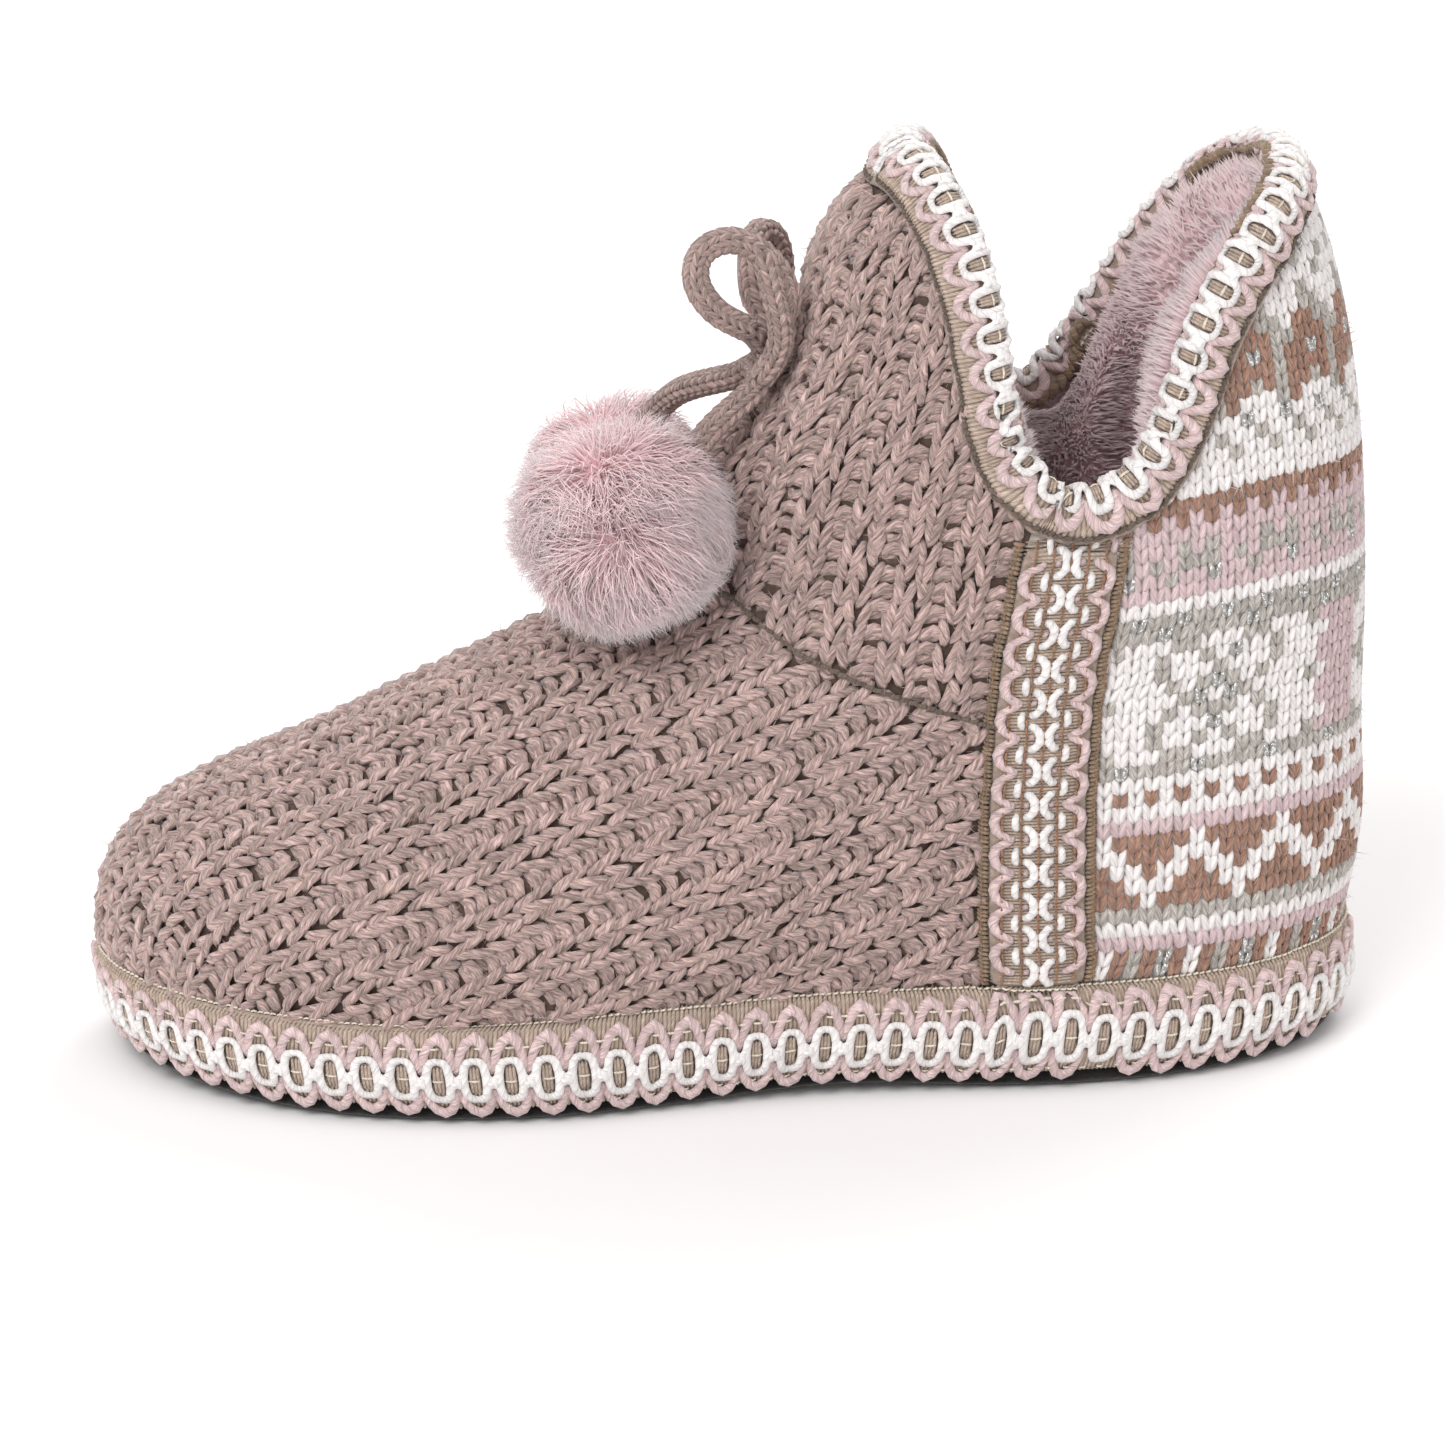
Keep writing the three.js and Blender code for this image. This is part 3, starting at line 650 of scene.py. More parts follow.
# %% Creases of the gathered shaft
CREASES = [
    {
        "line": [(15, -1, 160), (10, -8, 146), (6, -16, 136), (3, -19, 122), (1, -21, 112)], "depth": 2.4,
        "half": 5.0,
    },
    {"line": [(19, -19, 152), (14, -23, 138), (12, -26, 124)], "depth": -1.6, "half": 6.0},
    {"line": [(28, -23, 164), (22, -23, 150), (18, -26, 138), (15, -28, 124)], "depth": 1.4, "half": 4.5},
    {"line": [(15, 2, 160), (10, 9, 146), (6, 16, 134), (2, 20, 120)], "depth": 2.2, "half": 5.0},
    {"line": [(20, 20, 150), (15, 24, 136), (13, 27, 124)], "depth": -1.4, "half": 6.0},
]


def crease(mesh):
    """Presses the creases into a mesh along its normals."""
    co = points_of(mesh)
    normal = normals_of(mesh)
    move = np.zeros(len(co))
    for fold in CREASES:
        line = spline(fold["line"], np.linspace(0, 1, 40))
        far = np.linalg.norm(co[:, None, :] - line[None, :, :], axis=2).min(1)
        move -= fold["depth"] * np.exp(-((far / fold["half"]) ** 2))
    co += normal * move[:, None]
    mesh.vertices.foreach_set("co", (co * MM).astype(np.float32).ravel())
    mesh.update()


upper_fine = smooth_mesh("upper", 2)
crease(upper_fine)
upper_tree = tree_of(upper_fine)
band_tree = tree_of(smooth_mesh("sole_braid", 2))
collar_tree = tree_of(smooth_mesh("collar_braid", 2))
side_trees = {side: tree_of(smooth_mesh("side_braid_" + side, 1)) for side in ("outer", "inner")}
print("upper skin", len(upper_fine.polygons), "faces")

# %% [markdown]
# A sheet is a grid of points on a skin with the way out at each one. Templates are wrapped on it: x and y
# of a template are measured along the grid and z goes out of the fabric, so a stitch bends with the
# surface.


# %% Sheets and how templates are wrapped on them
def sheet(points, pitch, outward):
    """A grid on a skin. pitch is the millimetres between its rows and between its columns."""
    points = np.asarray(points, float)
    along = np.gradient(points, axis=0)
    across = np.gradient(points, axis=1)
    normal = unit(np.cross(across, along))
    middle = (len(points) // 2, points.shape[1] // 2)
    if np.dot(normal[middle], outward(points[middle])) < 0:
        normal = -normal
    return {"points": points, "normal": normal, "pitch": pitch}


def between(field, i, j, fi, fj):
    """A grid's values inside its cells: i and j name the cell, fi and fj say how far across it."""
    low = field[i, j] * (1 - fj) + field[i, j + 1] * fj
    high = field[i + 1, j] * (1 - fj) + field[i + 1, j + 1] * fj
    return low * (1 - fi) + high * fi


def wrap(cloth_sheet, shape, rows, columns, lift=0.0):
    """A template's points at each row and column of a sheet, and which copies lie wholly on it."""
    grid, normal = cloth_sheet["points"], cloth_sheet["normal"]
    across = np.asarray(columns, float)[:, None] + shape["points"][None, :, 0] / cloth_sheet["pitch"][1]
    along = np.asarray(rows, float)[:, None] + shape["points"][None, :, 1] / cloth_sheet["pitch"][0]
    height = shape["points"][None, :, 2] + np.broadcast_to(np.asarray(lift, float), len(rows))[:, None]
    top, right = grid.shape[0] - 1.001, grid.shape[1] - 1.001
    inside = ((along >= 0) & (along <= top) & (across >= 0) & (across <= right)).all(1)
    along, across = np.clip(along, 0, top), np.clip(across, 0, right)
    i, j = along.astype(int), across.astype(int)
    fi, fj = (along - i)[..., None], (across - j)[..., None]
    placed = between(grid, i, j, fi, fj) + between(normal, i, j, fi, fj) * height[..., None]
    inside &= ~np.isnan(placed).any((1, 2))
    return placed, inside


def resample(line, places, extend=0.0):
    """Points of a polyline at given lengths along it. extend carries its end on, and the rest are NaN."""
    good = ~np.isnan(line).any(1)
    line = line[good]
    if len(line) < 2:
        return np.full((len(places), 3), np.nan)
    if extend:
        ahead = line[-1] - line[-2]
        line = np.vstack([line, line[-1] + ahead / np.linalg.norm(ahead) * extend])
    length = lengths_along(line)
    out = points_at(line, length, places)
    out[(places < 0) | (places > length[-1])] = np.nan
    return out


def length_to(line, test):
    """The length along a polyline up to the first point for which the test holds."""
    length = lengths_along(line)
    where = np.nonzero(test(line))[0]
    return length[where[0]] if len(where) else None


# %% [markdown]
# The side braids' edges bound the knitted panels, so their outline is read off the solids: at each height a
# row of rays finds where the braid begins and ends. The knit also has to know where the band round the sole
# begins. Its tape is sewn on a little higher than its solid.

# %% Edges of the side braids
SIDE_Y = {"outer": -1.0, "inner": 1.0}
EDGE_HEIGHTS_READ = np.arange(26, 116, 3.0)
EDGE_SEARCH = np.arange(40, 90, 0.5)
braid_edges = {}
for side, sign in SIDE_Y.items():
    rows = []
    for z in EDGE_HEIGHTS_READ:
        xs = [x for x in EDGE_SEARCH if not np.isnan(side_hit(side_trees[side], x, z, sign)[0])]
        if xs:
            rows.append((z, xs[0], xs[-1]))
    braid_edges[side] = np.array(rows)
print("side braid edges at the bottom", braid_edges["outer"][0])


def braid_edge(side, z, rear):
    """x of a side braid's front or rear edge at a height, carried on above its top."""
    rows = braid_edges[side]
    column = 2 if rear else 1
    if z > rows[-1, 0]:
        slope = (rows[-1, column] - rows[-6, column]) / (rows[-1, 0] - rows[-6, 0])
        return rows[-1, column] + slope * (z - rows[-1, 0])
    return np.interp(z, rows[:, 0], rows[:, column])


def band_rise(x):
    """How far above its solid the band's tape is sewn on: a trace at the toe, 3 mm from the instep back."""
    return 0.4 + 2.6 * np.clip((x + 80) / 50, 0, 1)


# %% [markdown]
# The heel panel is plain stocking stitch, so it is a grid of V shapes: every column runs up the heel and
# every row goes round it, level with the floor. Each V is two plump legs that lean apart.

# %% Heel panel grid
PANEL_ROW = 3.0
PANEL_HALF = 24.5
PANEL_COLUMN = 3.45
PANEL_LEVELS = np.arange(19.5, 198, PANEL_ROW)
PANEL_ROWS = 54
HEEL_AXIS = 92.0
# Heights of some rows of the pattern: where they meet the braid, and half way to the back, where the knit is
# drawn up
KNOWN_ROWS = [2, 13, 27, 34, 53]
EDGE_HEIGHTS = [28.0, 62.2, 101.9, 122.6, 179.0]
MIDDLE_HEIGHTS = [27.0, 64.0, 106.1, 127.5, 186.0]


def half_contour(tree, axis, z, sign, start, stop, step=2.0):
    """Points of the outer skin at one height, walked round an axis by angle from start to stop."""
    line = []
    for angle in np.arange(start, stop, step if stop > start else -step):
        way = np.array([math.cos(math.radians(angle)), sign * math.sin(math.radians(angle)), 0.0])
        spot = level_hit(tree, way, z, axis)
        if np.isnan(spot[0]) or np.dot(spot[:2] - [axis, 0], way[:2]) < 2:
            break
        line.append(spot)
    return np.array(line)


def level_lines():
    """The outer skin at even heights, with the columns of the knit counted from the back to each braid."""
    count = int(PANEL_HALF) + 3
    levels, pitch = [], {}
    for z in PANEL_LEVELS:
        sides = {}
        for side, sign in SIDE_Y.items():
            line = half_contour(upper_tree, HEEL_AXIS, z, sign, 0, 165)
            if len(line) > 1 and z < 112:
                edge = braid_edge(side, z, True)
                reach = length_to(line, lambda p, e=edge: p[:, 0] < e)
                if reach:
                    pitch[side] = reach / PANEL_HALF
            places = np.arange(count) * pitch[side]
            sides[side] = resample(line, places) if len(line) > 1 else np.full((count, 3), np.nan)
        levels.append(np.vstack([sides["outer"][::-1], sides["inner"][1:]]))
    return np.array(levels)


def heel_grid():
    """The rows of the knit, read from the level lines at the heights where each row lies."""
    levels = level_lines()
    count = levels.shape[1]
    rows = np.arange(PANEL_ROWS)
    edge, middle = (
        np.interp(rows, KNOWN_ROWS, heights) + np.minimum(rows - 2, 0) * PANEL_ROW
        for heights in (EDGE_HEIGHTS, MIDDLE_HEIGHTS)
    )
    share = np.clip((PANEL_HALF - abs(np.arange(count) - count // 2)) / (PANEL_HALF / 2), 0, 1)
    z = edge[:, None] * (1 - share) + middle[:, None] * share
    place = np.clip((z - PANEL_LEVELS[0]) / PANEL_ROW, 0, len(PANEL_LEVELS) - 1.001)
    low = place.astype(int)
    part = (place - low)[..., None]
    column = np.arange(count)[None, :]
    return levels[low, column] * (1 - part) + levels[low + 1, column] * part


heel = sheet(heel_grid(), (PANEL_ROW, PANEL_COLUMN), lambda p: np.array([1.0, 0.0, 0.0]))
print("heel panel grid", heel["points"].shape)

# %% [markdown]
# The pattern is the traditional colour knitting of northern sweaters, charted from the bottom row
# up: W white, P pink, B brown, G grey and S grey with silver. Each row is read from the back centre to
# either side and starts again at its end.

# %% Heel panel chart
CHART = [
    "BSBGBW",
    "P",
    "W",
    "G",
    "BBWBBB",
    "BWWWBB",
    "WWBWWB",
    "WBBBWW",
    "BBBBBW",
    "P",
    "W",
    "BW",
    "W",
    "GGSGG",
    "GWWWGPPPPGWWWGGWWWGGWWWGPP",
    "GGWWWPPPWWWWGWWGWGWWGWWWPP",
    "WGGWWPPPPWWWGWWWSWWWGWWWPP",
    "WWGGWPPPPWWWWGWGGGWGWWWWPP",
    "SWWGGPPPWGWWWWGSWSGWWWWGPP",
    "WWGGWPPPPWWWWGWGSGWGWWWWPP",
    "WGGWWPPPPWWWGWWWGWWWGWWWPP",
    "GGWWWPPPWWWWGWWSWGWWGWWWPP",
    "GWWWGPPPPGWWWGGWWWGGWWWGPP",
    "GGSGGG",
    "GSG",
    "W",
    "P",
    "PPGPPS",
    "GGPGPG",
    "PGPPPG",
    "P",
    "PB",
    "B",
    "W",
    "W",
    "GWW",
    "WGW",
    "WWS",
    "BGWWW",
    "BGBGB",
    "BGBBB",
    "BGBSB",
    "GGBBB",
    "WGGBB",
    "WWGGW",
    "WWWGW",
    "WGWWW",
    "GWWGW",
    "WWSWW",
    "W",
]
PANEL_YARNS = [WHITE_YARN, PINK_YARN, BROWN_YARN, GREY_YARN, LUREX]
PANEL_INDEX = {"W": 0, "P": 1, "B": 2, "G": 3, "S": 4}

# %% [markdown]
# Each V of the heel is one copy of a plump leg and one of its mirror image, laid at its row and column in
# the yarn that the chart gives. Copies under the braid or below the band's edge are left out.

# %% Heel panel stitches
leg = strand([(0.3, -2.0, -0.6), (0.6, -0.7, 0.4), (1.1, 1.2, 0.45), (1.45, 2.8, -0.5)], 1.95, 1.35, 4, 5)
legs = (leg, mirrored(leg))


def knit_heel():
    """The heel panel's stitches as one piece."""
    centre = heel["points"].shape[1] // 2
    rows, columns, colours = [], [], []
    for row in range(1, PANEL_ROWS - 1):
        pattern = CHART[min(max(row - 2, 0), len(CHART) - 1)]
        for column in range(1, 2 * centre):
            rows.append(row)
            columns.append(column)
            colours.append(PANEL_INDEX[pattern[abs(column - centre) % len(pattern)]])
    rows, columns, colours = np.array(rows, float), np.array(columns, float), np.array(colours)
    parts = []
    for shape in legs:
        jitter = rng.normal(0, 0.05, len(rows))
        placed, inside = wrap(heel, shape, rows, columns + jitter)
        middle = placed.mean(1)
        side = np.where(middle[:, 1] < 0, "outer", "inner")
        edge = np.array([braid_edge(s, z, True) for s, z in zip(side, middle[:, 2])])
        inside &= (middle[:, 0] > edge - 2) & (middle[:, 2] > 22)
        parts.append((shape, placed[inside], colours[inside], rng.random(inside.sum())))
    return joined("heel_panel_stitches", parts + fuzz(parts, 3000), PANEL_YARNS)


knit_heel()

# %% [markdown]
# The vamp and the front of the shaft are a chunky rib in marled yarn: two columns of plump V stitches, then
# one sunken column of cross bumps. On the vamp the columns run up the instep. The cuts that carry its rows
# fan out round the toe from a line under the sole and then stay parallel.

# %% Vamp grid
RIB_ROW = 4.1
RIB_COLUMN = 4.1
INSTEP_SLOPE = math.radians(27)
FAN_PIVOT = np.array([-60.0, 0.0, -45.0])
VAMP_SIDE_COLUMNS = 38
LEVEL_UNDER_RIDGE = 24.0
CUT_STEP = 0.5
CUT_REACH = 175
INSTEP_END = -20.0  # behind this x the ridge of the foot turns up into the shaft
SEAM_LINE = np.array([(-16, 106.5), (-1.5, 104.2), (10.6, 95.9), (26.7, 89.0), (46.4, 81.9), (60, 77.5)])
toe = points_of(upper_fine)
TOE_TIP = toe[toe[:, 0].argmin()]
print("toe tip", TOE_TIP.round(1))


def toe_side(x):
    """How far the middle of the foot lies toward the inner side at x."""
    start = -30.0
    return TOE_TIP[1] * np.clip((x - start) / (TOE_TIP[0] - start), 0, 1) ** 2


def vamp_cuts():
    """The cutting planes of the vamp: a point inside the foot and the way up in each plane."""
    stop = math.pi / 2 + INSTEP_SLOPE
    start = math.atan2(14 - FAN_PIVOT[2], TOE_TIP[0] + 2 - FAN_PIVOT[0])
    fine = []
    for angle in np.linspace(start, stop, 60):
        up = np.array([math.cos(angle), 0.0, math.sin(angle)])
        fine.append((FAN_PIVOT + up * 70, up))
    up = fine[-1][1]
    along = np.array([up[2], 0.0, -up[0]])
    base = fine[-1][0]
    for step in np.arange(CUT_STEP, CUT_REACH, CUT_STEP):
        fine.append((base + along * step, up))
    top = []
    for centre, up in fine:
        start_at = centre + up * FAR
        start_at[1] = toe_side(centre[0] + up[0] * 40)
        top.append(hit(upper_tree, start_at, -up))
    top = np.array(top)
    travel = np.linalg.norm(np.diff(top, axis=0), axis=1)
    parallel = np.arange(len(travel)) >= 60
    past_instep = parallel & (top[1:, 0] > INSTEP_END)
    travel[past_instep] = CUT_STEP
    length = np.concatenate([[0], np.cumsum(travel)])
    wanted = np.arange(0, length[-1], RIB_ROW)
    index = np.interp(wanted, length, np.arange(len(fine)))
    cuts = []
    for value in index:
        k = min(int(value), len(fine) - 2)
        f = value - k
        centre = fine[k][0] * (1 - f) + fine[k + 1][0] * f
        way = fine[k][1] * (1 - f) + fine[k + 1][1] * f
        cuts.append((centre, way / np.linalg.norm(way)))
    return cuts


def vamp_grid():
    """The skin read in each cutting plane, with columns that keep level along the instep."""
    rows, reference = [], {}
    cuts = vamp_cuts()
    rise = cuts[-1][1]
    for centre, up in cuts:
        sides = {}
        middle = centre.copy()
        middle[1] = toe_side(centre[0] + up[0] * 40)
        ridge = hit(upper_tree, middle + up * FAR, -up)
        inner = ridge - up * 34
        if ridge[0] < INSTEP_END:
            level = ridge @ rise - LEVEL_UNDER_RIDGE
        for side, sign in SIDE_Y.items():
            line = []
            for angle in np.arange(0, 165, 2.5):
                aside = np.array([0, sign, 0]) * math.sin(math.radians(angle))
                way = up * math.cos(math.radians(angle)) + aside
                spot = hit(upper_tree, inner + way * 150, -way)
                if np.isnan(spot[0]) or spot[2] < 12:
                    break
                line.append(spot)
            line = np.array(line) if len(line) > 1 else np.full((2, 3), np.nan)
            length = lengths_along(line)
            where = np.interp(-level, -(line @ rise), length)
            if ridge[0] < INSTEP_END:
                reference[side] = where
            places = np.arange(VAMP_SIDE_COLUMNS + 1) * RIB_COLUMN + where - reference[side]
            sides[side] = resample(line, places, 8.0)
        rows.append(np.vstack([sides["outer"][::-1], sides["inner"][1:]]))
    return np.array(rows)


vamp = sheet(vamp_grid(), (RIB_ROW, RIB_COLUMN), lambda p: np.array([0.0, 0.0, 1.0]))
print("vamp grid", vamp["points"].shape)

# %% [markdown]
# On the shaft the columns stand upright beside the side braid and lean with the front edge, because the
# drawcord draws them together in front.

# %% Shaft grid
SHAFT_HALF = 21
SHAFT_BASE = 72.0
SHAFT_ROWS = 31
SHAFT_AXIS = 45.0
SEAM_TOP = 106.0


def shaft_grid():
    """The skin at even heights, with columns counted from each ankle braid, and where it is truly skin."""
    reach, lines = {}, {}
    heights = SHAFT_BASE + np.arange(SHAFT_ROWS) * RIB_ROW
    for side, sign in SIDE_Y.items():
        for z in heights:
            line = half_contour(upper_tree, SHAFT_AXIS, z, sign, 180, 30)
            if len(line) < 2:
                line = np.full((2, 3), np.nan)
            lines[side, z] = line
            edge = braid_edge(side, z, False)
            length = lengths_along(line)
            if line[-1, 0] >= edge:
                reach[side, z] = np.interp(edge, line[:, 0], length)
            else:
                reach[side, z] = length[-1] + (edge - line[-1, 0])
    rows, real = [], []
    for z in heights:
        sides, true_sides = {}, {}
        for side in SIDE_Y:
            level = min(heights, key=lambda h: abs(h - max(z, SEAM_TOP)))
            pitch = reach[side, level] / SHAFT_HALF
            places = reach[side, z] - np.arange(-3, SHAFT_HALF + 1) * pitch
            if z <= SEAM_TOP:
                places[places < 0] = np.nan
            places = np.nan_to_num(places, nan=-1.0)
            sides[side] = resample(lines[side, z], places, 9.0)
            true_sides[side] = resample(lines[side, z], places)
        rows.append(np.vstack([sides["outer"], sides["inner"][::-1][1:]]))
        real.append(np.vstack([true_sides["outer"], true_sides["inner"][::-1][1:]]))
    return np.array(rows), ~np.isnan(real).any(2)


shaft_points, shaft_real = shaft_grid()
shaft = sheet(shaft_points, (RIB_ROW, RIB_COLUMN), lambda p: np.array([-1.0, 0.0, 0.0]))
print("shaft grid", shaft["points"].shape)

# %% [markdown]
# A rib stitch is a V of two plump legs. The sunken column between is the back of the same fabric, so it
# shows one loop over another. Small random shifts in place and height keep the rows from looking printed.

# %% Chunky stitches
plump = strand([(0.1, -2.8, -1.0), (0.7, -1.2, 0.8), (1.45, 1.0, 0.95), (1.95, 3.1, -0.7)], 2.3, 2.1, 5, 6)
plump_legs = (plump, mirrored(plump))
bump_over = strand(
    [(-3.3, -1.4, -0.8), (-1.8, 0.2, 0.5), (0.3, 0.9, 0.85), (2.1, 0.2, 0.5), (3.3, -1.4, -0.8)], 2.7, 2.1,
    5, 6,
)
bump_under = strand(
    [(-3.0, 1.1, -1.0), (-1.0, -0.9, 0.0), (1.0, -1.1, 0.0), (3.0, 1.0, -1.0)], 2.8, 1.8, 5, 5
)
# How far stitches stray by chance, in rows, in columns and in millimetres of height
ROW_SHIFT, COLUMN_SHIFT, HEIGHT_SHIFT = 0.12, 0.1, 0.18
TUCKED_BELOW = 20.5  # stitches lower than this, and the band's rise, are tucked in behind its tape
TUCK = -0.9


def chunky(name, cloth_sheet, loose, keep, real=None):
    """Rib stitches on a sheet: two columns of V shapes and one of bumps, where keep and real allow them."""
    count_rows, count_columns = cloth_sheet["points"].shape[:2]
    rows, columns = np.meshgrid(np.arange(count_rows), np.arange(count_columns), indexing="ij")
    rows, columns = rows.ravel().astype(float), columns.ravel().astype(float)
    centre = count_columns // 2
    kind = (columns - centre) % 3
    parts = []
    for shape in plump_legs + (bump_over, bump_under):
        bump = shape is bump_over or shape is bump_under
        chosen = kind == 1 if bump else kind != 1
        chosen_rows = rows[chosen] + rng.normal(0, ROW_SHIFT, chosen.sum())
        chosen_columns = columns[chosen] + rng.normal(0, COLUMN_SHIFT, chosen.sum())
        lift = np.where(bump, -0.1, 0.25) + rng.normal(0, HEIGHT_SHIFT, chosen.sum())
        middle = wrap(cloth_sheet, shape, chosen_rows, chosen_columns)[0].mean(1)
        low = middle[:, 2] < TUCKED_BELOW + band_rise(middle[:, 0])
        placed, inside = wrap(cloth_sheet, shape, chosen_rows, chosen_columns, np.where(low, TUCK, lift))
        inside &= keep(placed.mean(1))
        if real is not None:
            inside &= real.ravel()[chosen]
        parts.append((shape, placed[inside], 0, rng.random(inside.sum())))
    return joined(name, parts + fuzz(parts, loose), [MARL])


# %% Vamp and shaft stitches
VAMP_LOW = 18.6
SEAM_GAP = 0.2


def seam_height(x):
    """The height of the seam between vamp and shaft."""
    return np.interp(x, SEAM_LINE[:, 0], SEAM_LINE[:, 1])


def before_braid(p, margin):
    """Which points lie in front of the ankle braid, or under its edge by no more than the margin allows."""
    edge = np.array([braid_edge("outer" if y < 0 else "inner", z, False) for y, z in p[:, 1:]])
    return p[:, 0] < edge + margin


def on_vamp(p):
    """Which stitches belong to the vamp."""
    above_band = p[:, 2] > VAMP_LOW + 0.8 * band_rise(p[:, 0])
    return (p[:, 2] < seam_height(p[:, 0]) - SEAM_GAP) & above_band & before_braid(p, -2.0)


def on_shaft(p):
    """Which stitches belong to the shaft."""
    return (p[:, 2] >= seam_height(p[:, 0]) + SEAM_GAP) & before_braid(p, -2.0)


chunky("vamp_stitches", vamp, 6500, on_vamp)
chunky("shaft_stitches", shaft, 4000, on_shaft, shaft_real)

# %% [markdown]
# The shaft is sewn on the vamp with a flat seam. It shows as a thin darker line of slanted stitches in the
# groove between the two.

# %% Seam between vamp and shaft
SEAM_STEP = 1.0
SEAM_WIDTH_STEP = 1.2


def seam_sheet(sign):
    """A narrow sheet along the seam on one side."""
    xs = np.arange(-15, 56, 0.5)
    line = np.array([side_hit(upper_tree, x, seam_height(x), sign) for x in xs])
    line = line[~np.isnan(line).any(1)]
    line = resample(line, np.arange(0, line_length(line), SEAM_STEP))
    rises = np.arange(-2 * SEAM_WIDTH_STEP, 2 * SEAM_WIDTH_STEP + 0.1, SEAM_WIDTH_STEP)
    grid = [[side_hit(upper_tree, p[0], p[2] + rise, sign) for rise in rises] for p in line]
    return sheet(grid, (SEAM_STEP, SEAM_WIDTH_STEP), lambda p: np.array([0.0, sign, 0.0]))


parts = []
seam_stitch = strand([(-0.4, -1.5, 1.2), (0, 0, 2.3), (0.4, 1.5, 1.2)], 0.95, 0.9, 5, 5)
for sign in SIDE_Y.values():
    seam_cloth = seam_sheet(sign)
    places = np.arange(2.0, len(seam_cloth["points"]) - 3.0, 1.9)
    placed, inside = wrap(seam_cloth, seam_stitch, places, np.full(len(places), 2.0))
    parts.append((seam_stitch, placed[inside], 0, rng.random(inside.sum())))
joined("instep_seam_stitches", parts, [SEAM_THREAD])

# %% [markdown]
# Under the stitches lies a ground of painted shade, dark under the rib and grey under the heel panel, so
# the gaps between them read as depth. The inside of the same wall is the fur's backing.

# %% Upper ground
ground = smooth_mesh("upper", 1)
crease(ground)
SPINE = spline(
    [(-100, 4, 32), (-30, 0, 48), (60, 0, 62), (72, 0, 150), (76, 0, 240)], np.linspace(0, 1, 60)
)
for material in (KNIT_SHADOW, LINING_GROUND, PANEL_SHADOW):
    ground.materials.append(material)
for face in ground.polygons:
    centre = np.array(face.center[:]) / MM
    near = SPINE[np.linalg.norm(SPINE - centre, axis=1).argmin()]
    if np.dot(np.array(face.normal[:]), centre - near) < 0:
        face.material_index = 1
    elif centre[0] > 60:
        face.material_index = 2
placed_piece("upper_painted_shade_and_backing", ground, ("upper",))

# %% [markdown]
# The trims are one kind of tape, a gimp braid: white rings with a ribbed tan core, joined by knots, between
# pink scallops on a tan ribbed tape. Round the sole it lies flat, and over the collar it is folded across
# its rings. It is laid out once in millimetres, from the scalloped edge up, and wrapped on each sheet.

# %% Gimp braid templates
MOTIF = 7.5
RING_MIDDLE = 9.7
RING_HALF = (2.4, 3.85)


def half_ring(sign):
    """The path of one half of a ring, rounded toward a rectangle."""
    angles = np.radians(np.linspace(-98, 98, 9))
    return [
        (
            sign * RING_HALF[0] * math.copysign(abs(math.cos(a)) ** 0.7, math.cos(a)),
            RING_MIDDLE + RING_HALF[1] * math.copysign(abs(math.sin(a)) ** 0.8, math.sin(a)),
            1.15 + 0.25 * math.cos(2 * a),
        )
        for a in angles
    ]


half = MOTIF / 2
ARCH = [
    (-half, 10.4, 0.3), (-3.0, 13.0, 0.7), (-2.1, 16.2, 0.9), (0, 17.7, 1.0), (2.1, 16.2, 0.9),
    (3.0, 13.0, 0.7), (half, 10.4, 0.3),
]
SCALLOP = [
    (-half, 8.2, 0.3), (-2.9, 5.9, 0.7), (-1.9, 3.8, 0.9), (0, 2.8, 0.9), (1.9, 3.8, 0.9), (2.9, 5.9, 0.7),
    (half, 8.2, 0.3),
]
ARCH_FOLDED = [(x, 2 * RING_MIDDLE - y, z) for x, y, z in SCALLOP]
RING_PIECES = [strand(half_ring(sign), 2.0, 1.8, 5, 11) for sign in (1, -1)]
KNOT_PATHS = [
    [
        (half - 1.9, RING_MIDDLE - s * 1.5, 1.0), (half, RING_MIDDLE, 1.9),
        (half + 1.9, RING_MIDDLE + s * 1.5, 1.0),
    ]
    for s in (1, -1)
]
KNOTS = [strand(path, 1.9, 1.5, 5, 5) for path in KNOT_PATHS]
RIB_PATHS = [
    [(x, RING_MIDDLE + s * 3.1, 1.0 - 0.4 * abs(s)) for s in (-1, 0, 1)] for x in (-0.75, 0.0, 0.75)
]
CORE_RIBS = [strand(path, 0.85, 0.8, 4, 4) for path in RIB_PATHS]
CORE_STITCH = strand(
    [(-1.4, RING_MIDDLE, 1.1), (0, RING_MIDDLE, 1.45), (1.4, RING_MIDDLE, 1.1)], 0.45, 0.4, 4, 4
)
BRAID_YARNS = [GIMP_WHITE, GIMP_PINK, TAN_THREAD, CREAM_THREAD, DARK_THREAD, BROWN_THREAD, SEAM_THREAD]
WHITE, PINK, TAN, CREAM, DARK, BROWN, SEAM = range(7)


# %% Laying a braid
def lay(cloth_sheet, shape, columns, which, base=0.0, wobble=0.0, lift=0.0):
    """Copies of a template along a sheet. base is how far up it each one starts, in millimetres."""
    rows = np.broadcast_to(base, len(columns)) / cloth_sheet["pitch"][0] + rng.normal(
        0, wobble + 1e-9, len(columns)
    )
    columns = columns + rng.normal(0, wobble + 1e-9, len(columns))
    placed, inside = wrap(cloth_sheet, shape, rows, columns, lift)
    return (shape, placed[inside], which, rng.random(inside.sum()))


def every(length, pitch, start=0.0):
    """Places at an even pitch that divides a closed length."""
    count = max(1, round(length / pitch))
    return start + np.arange(count) * length / count


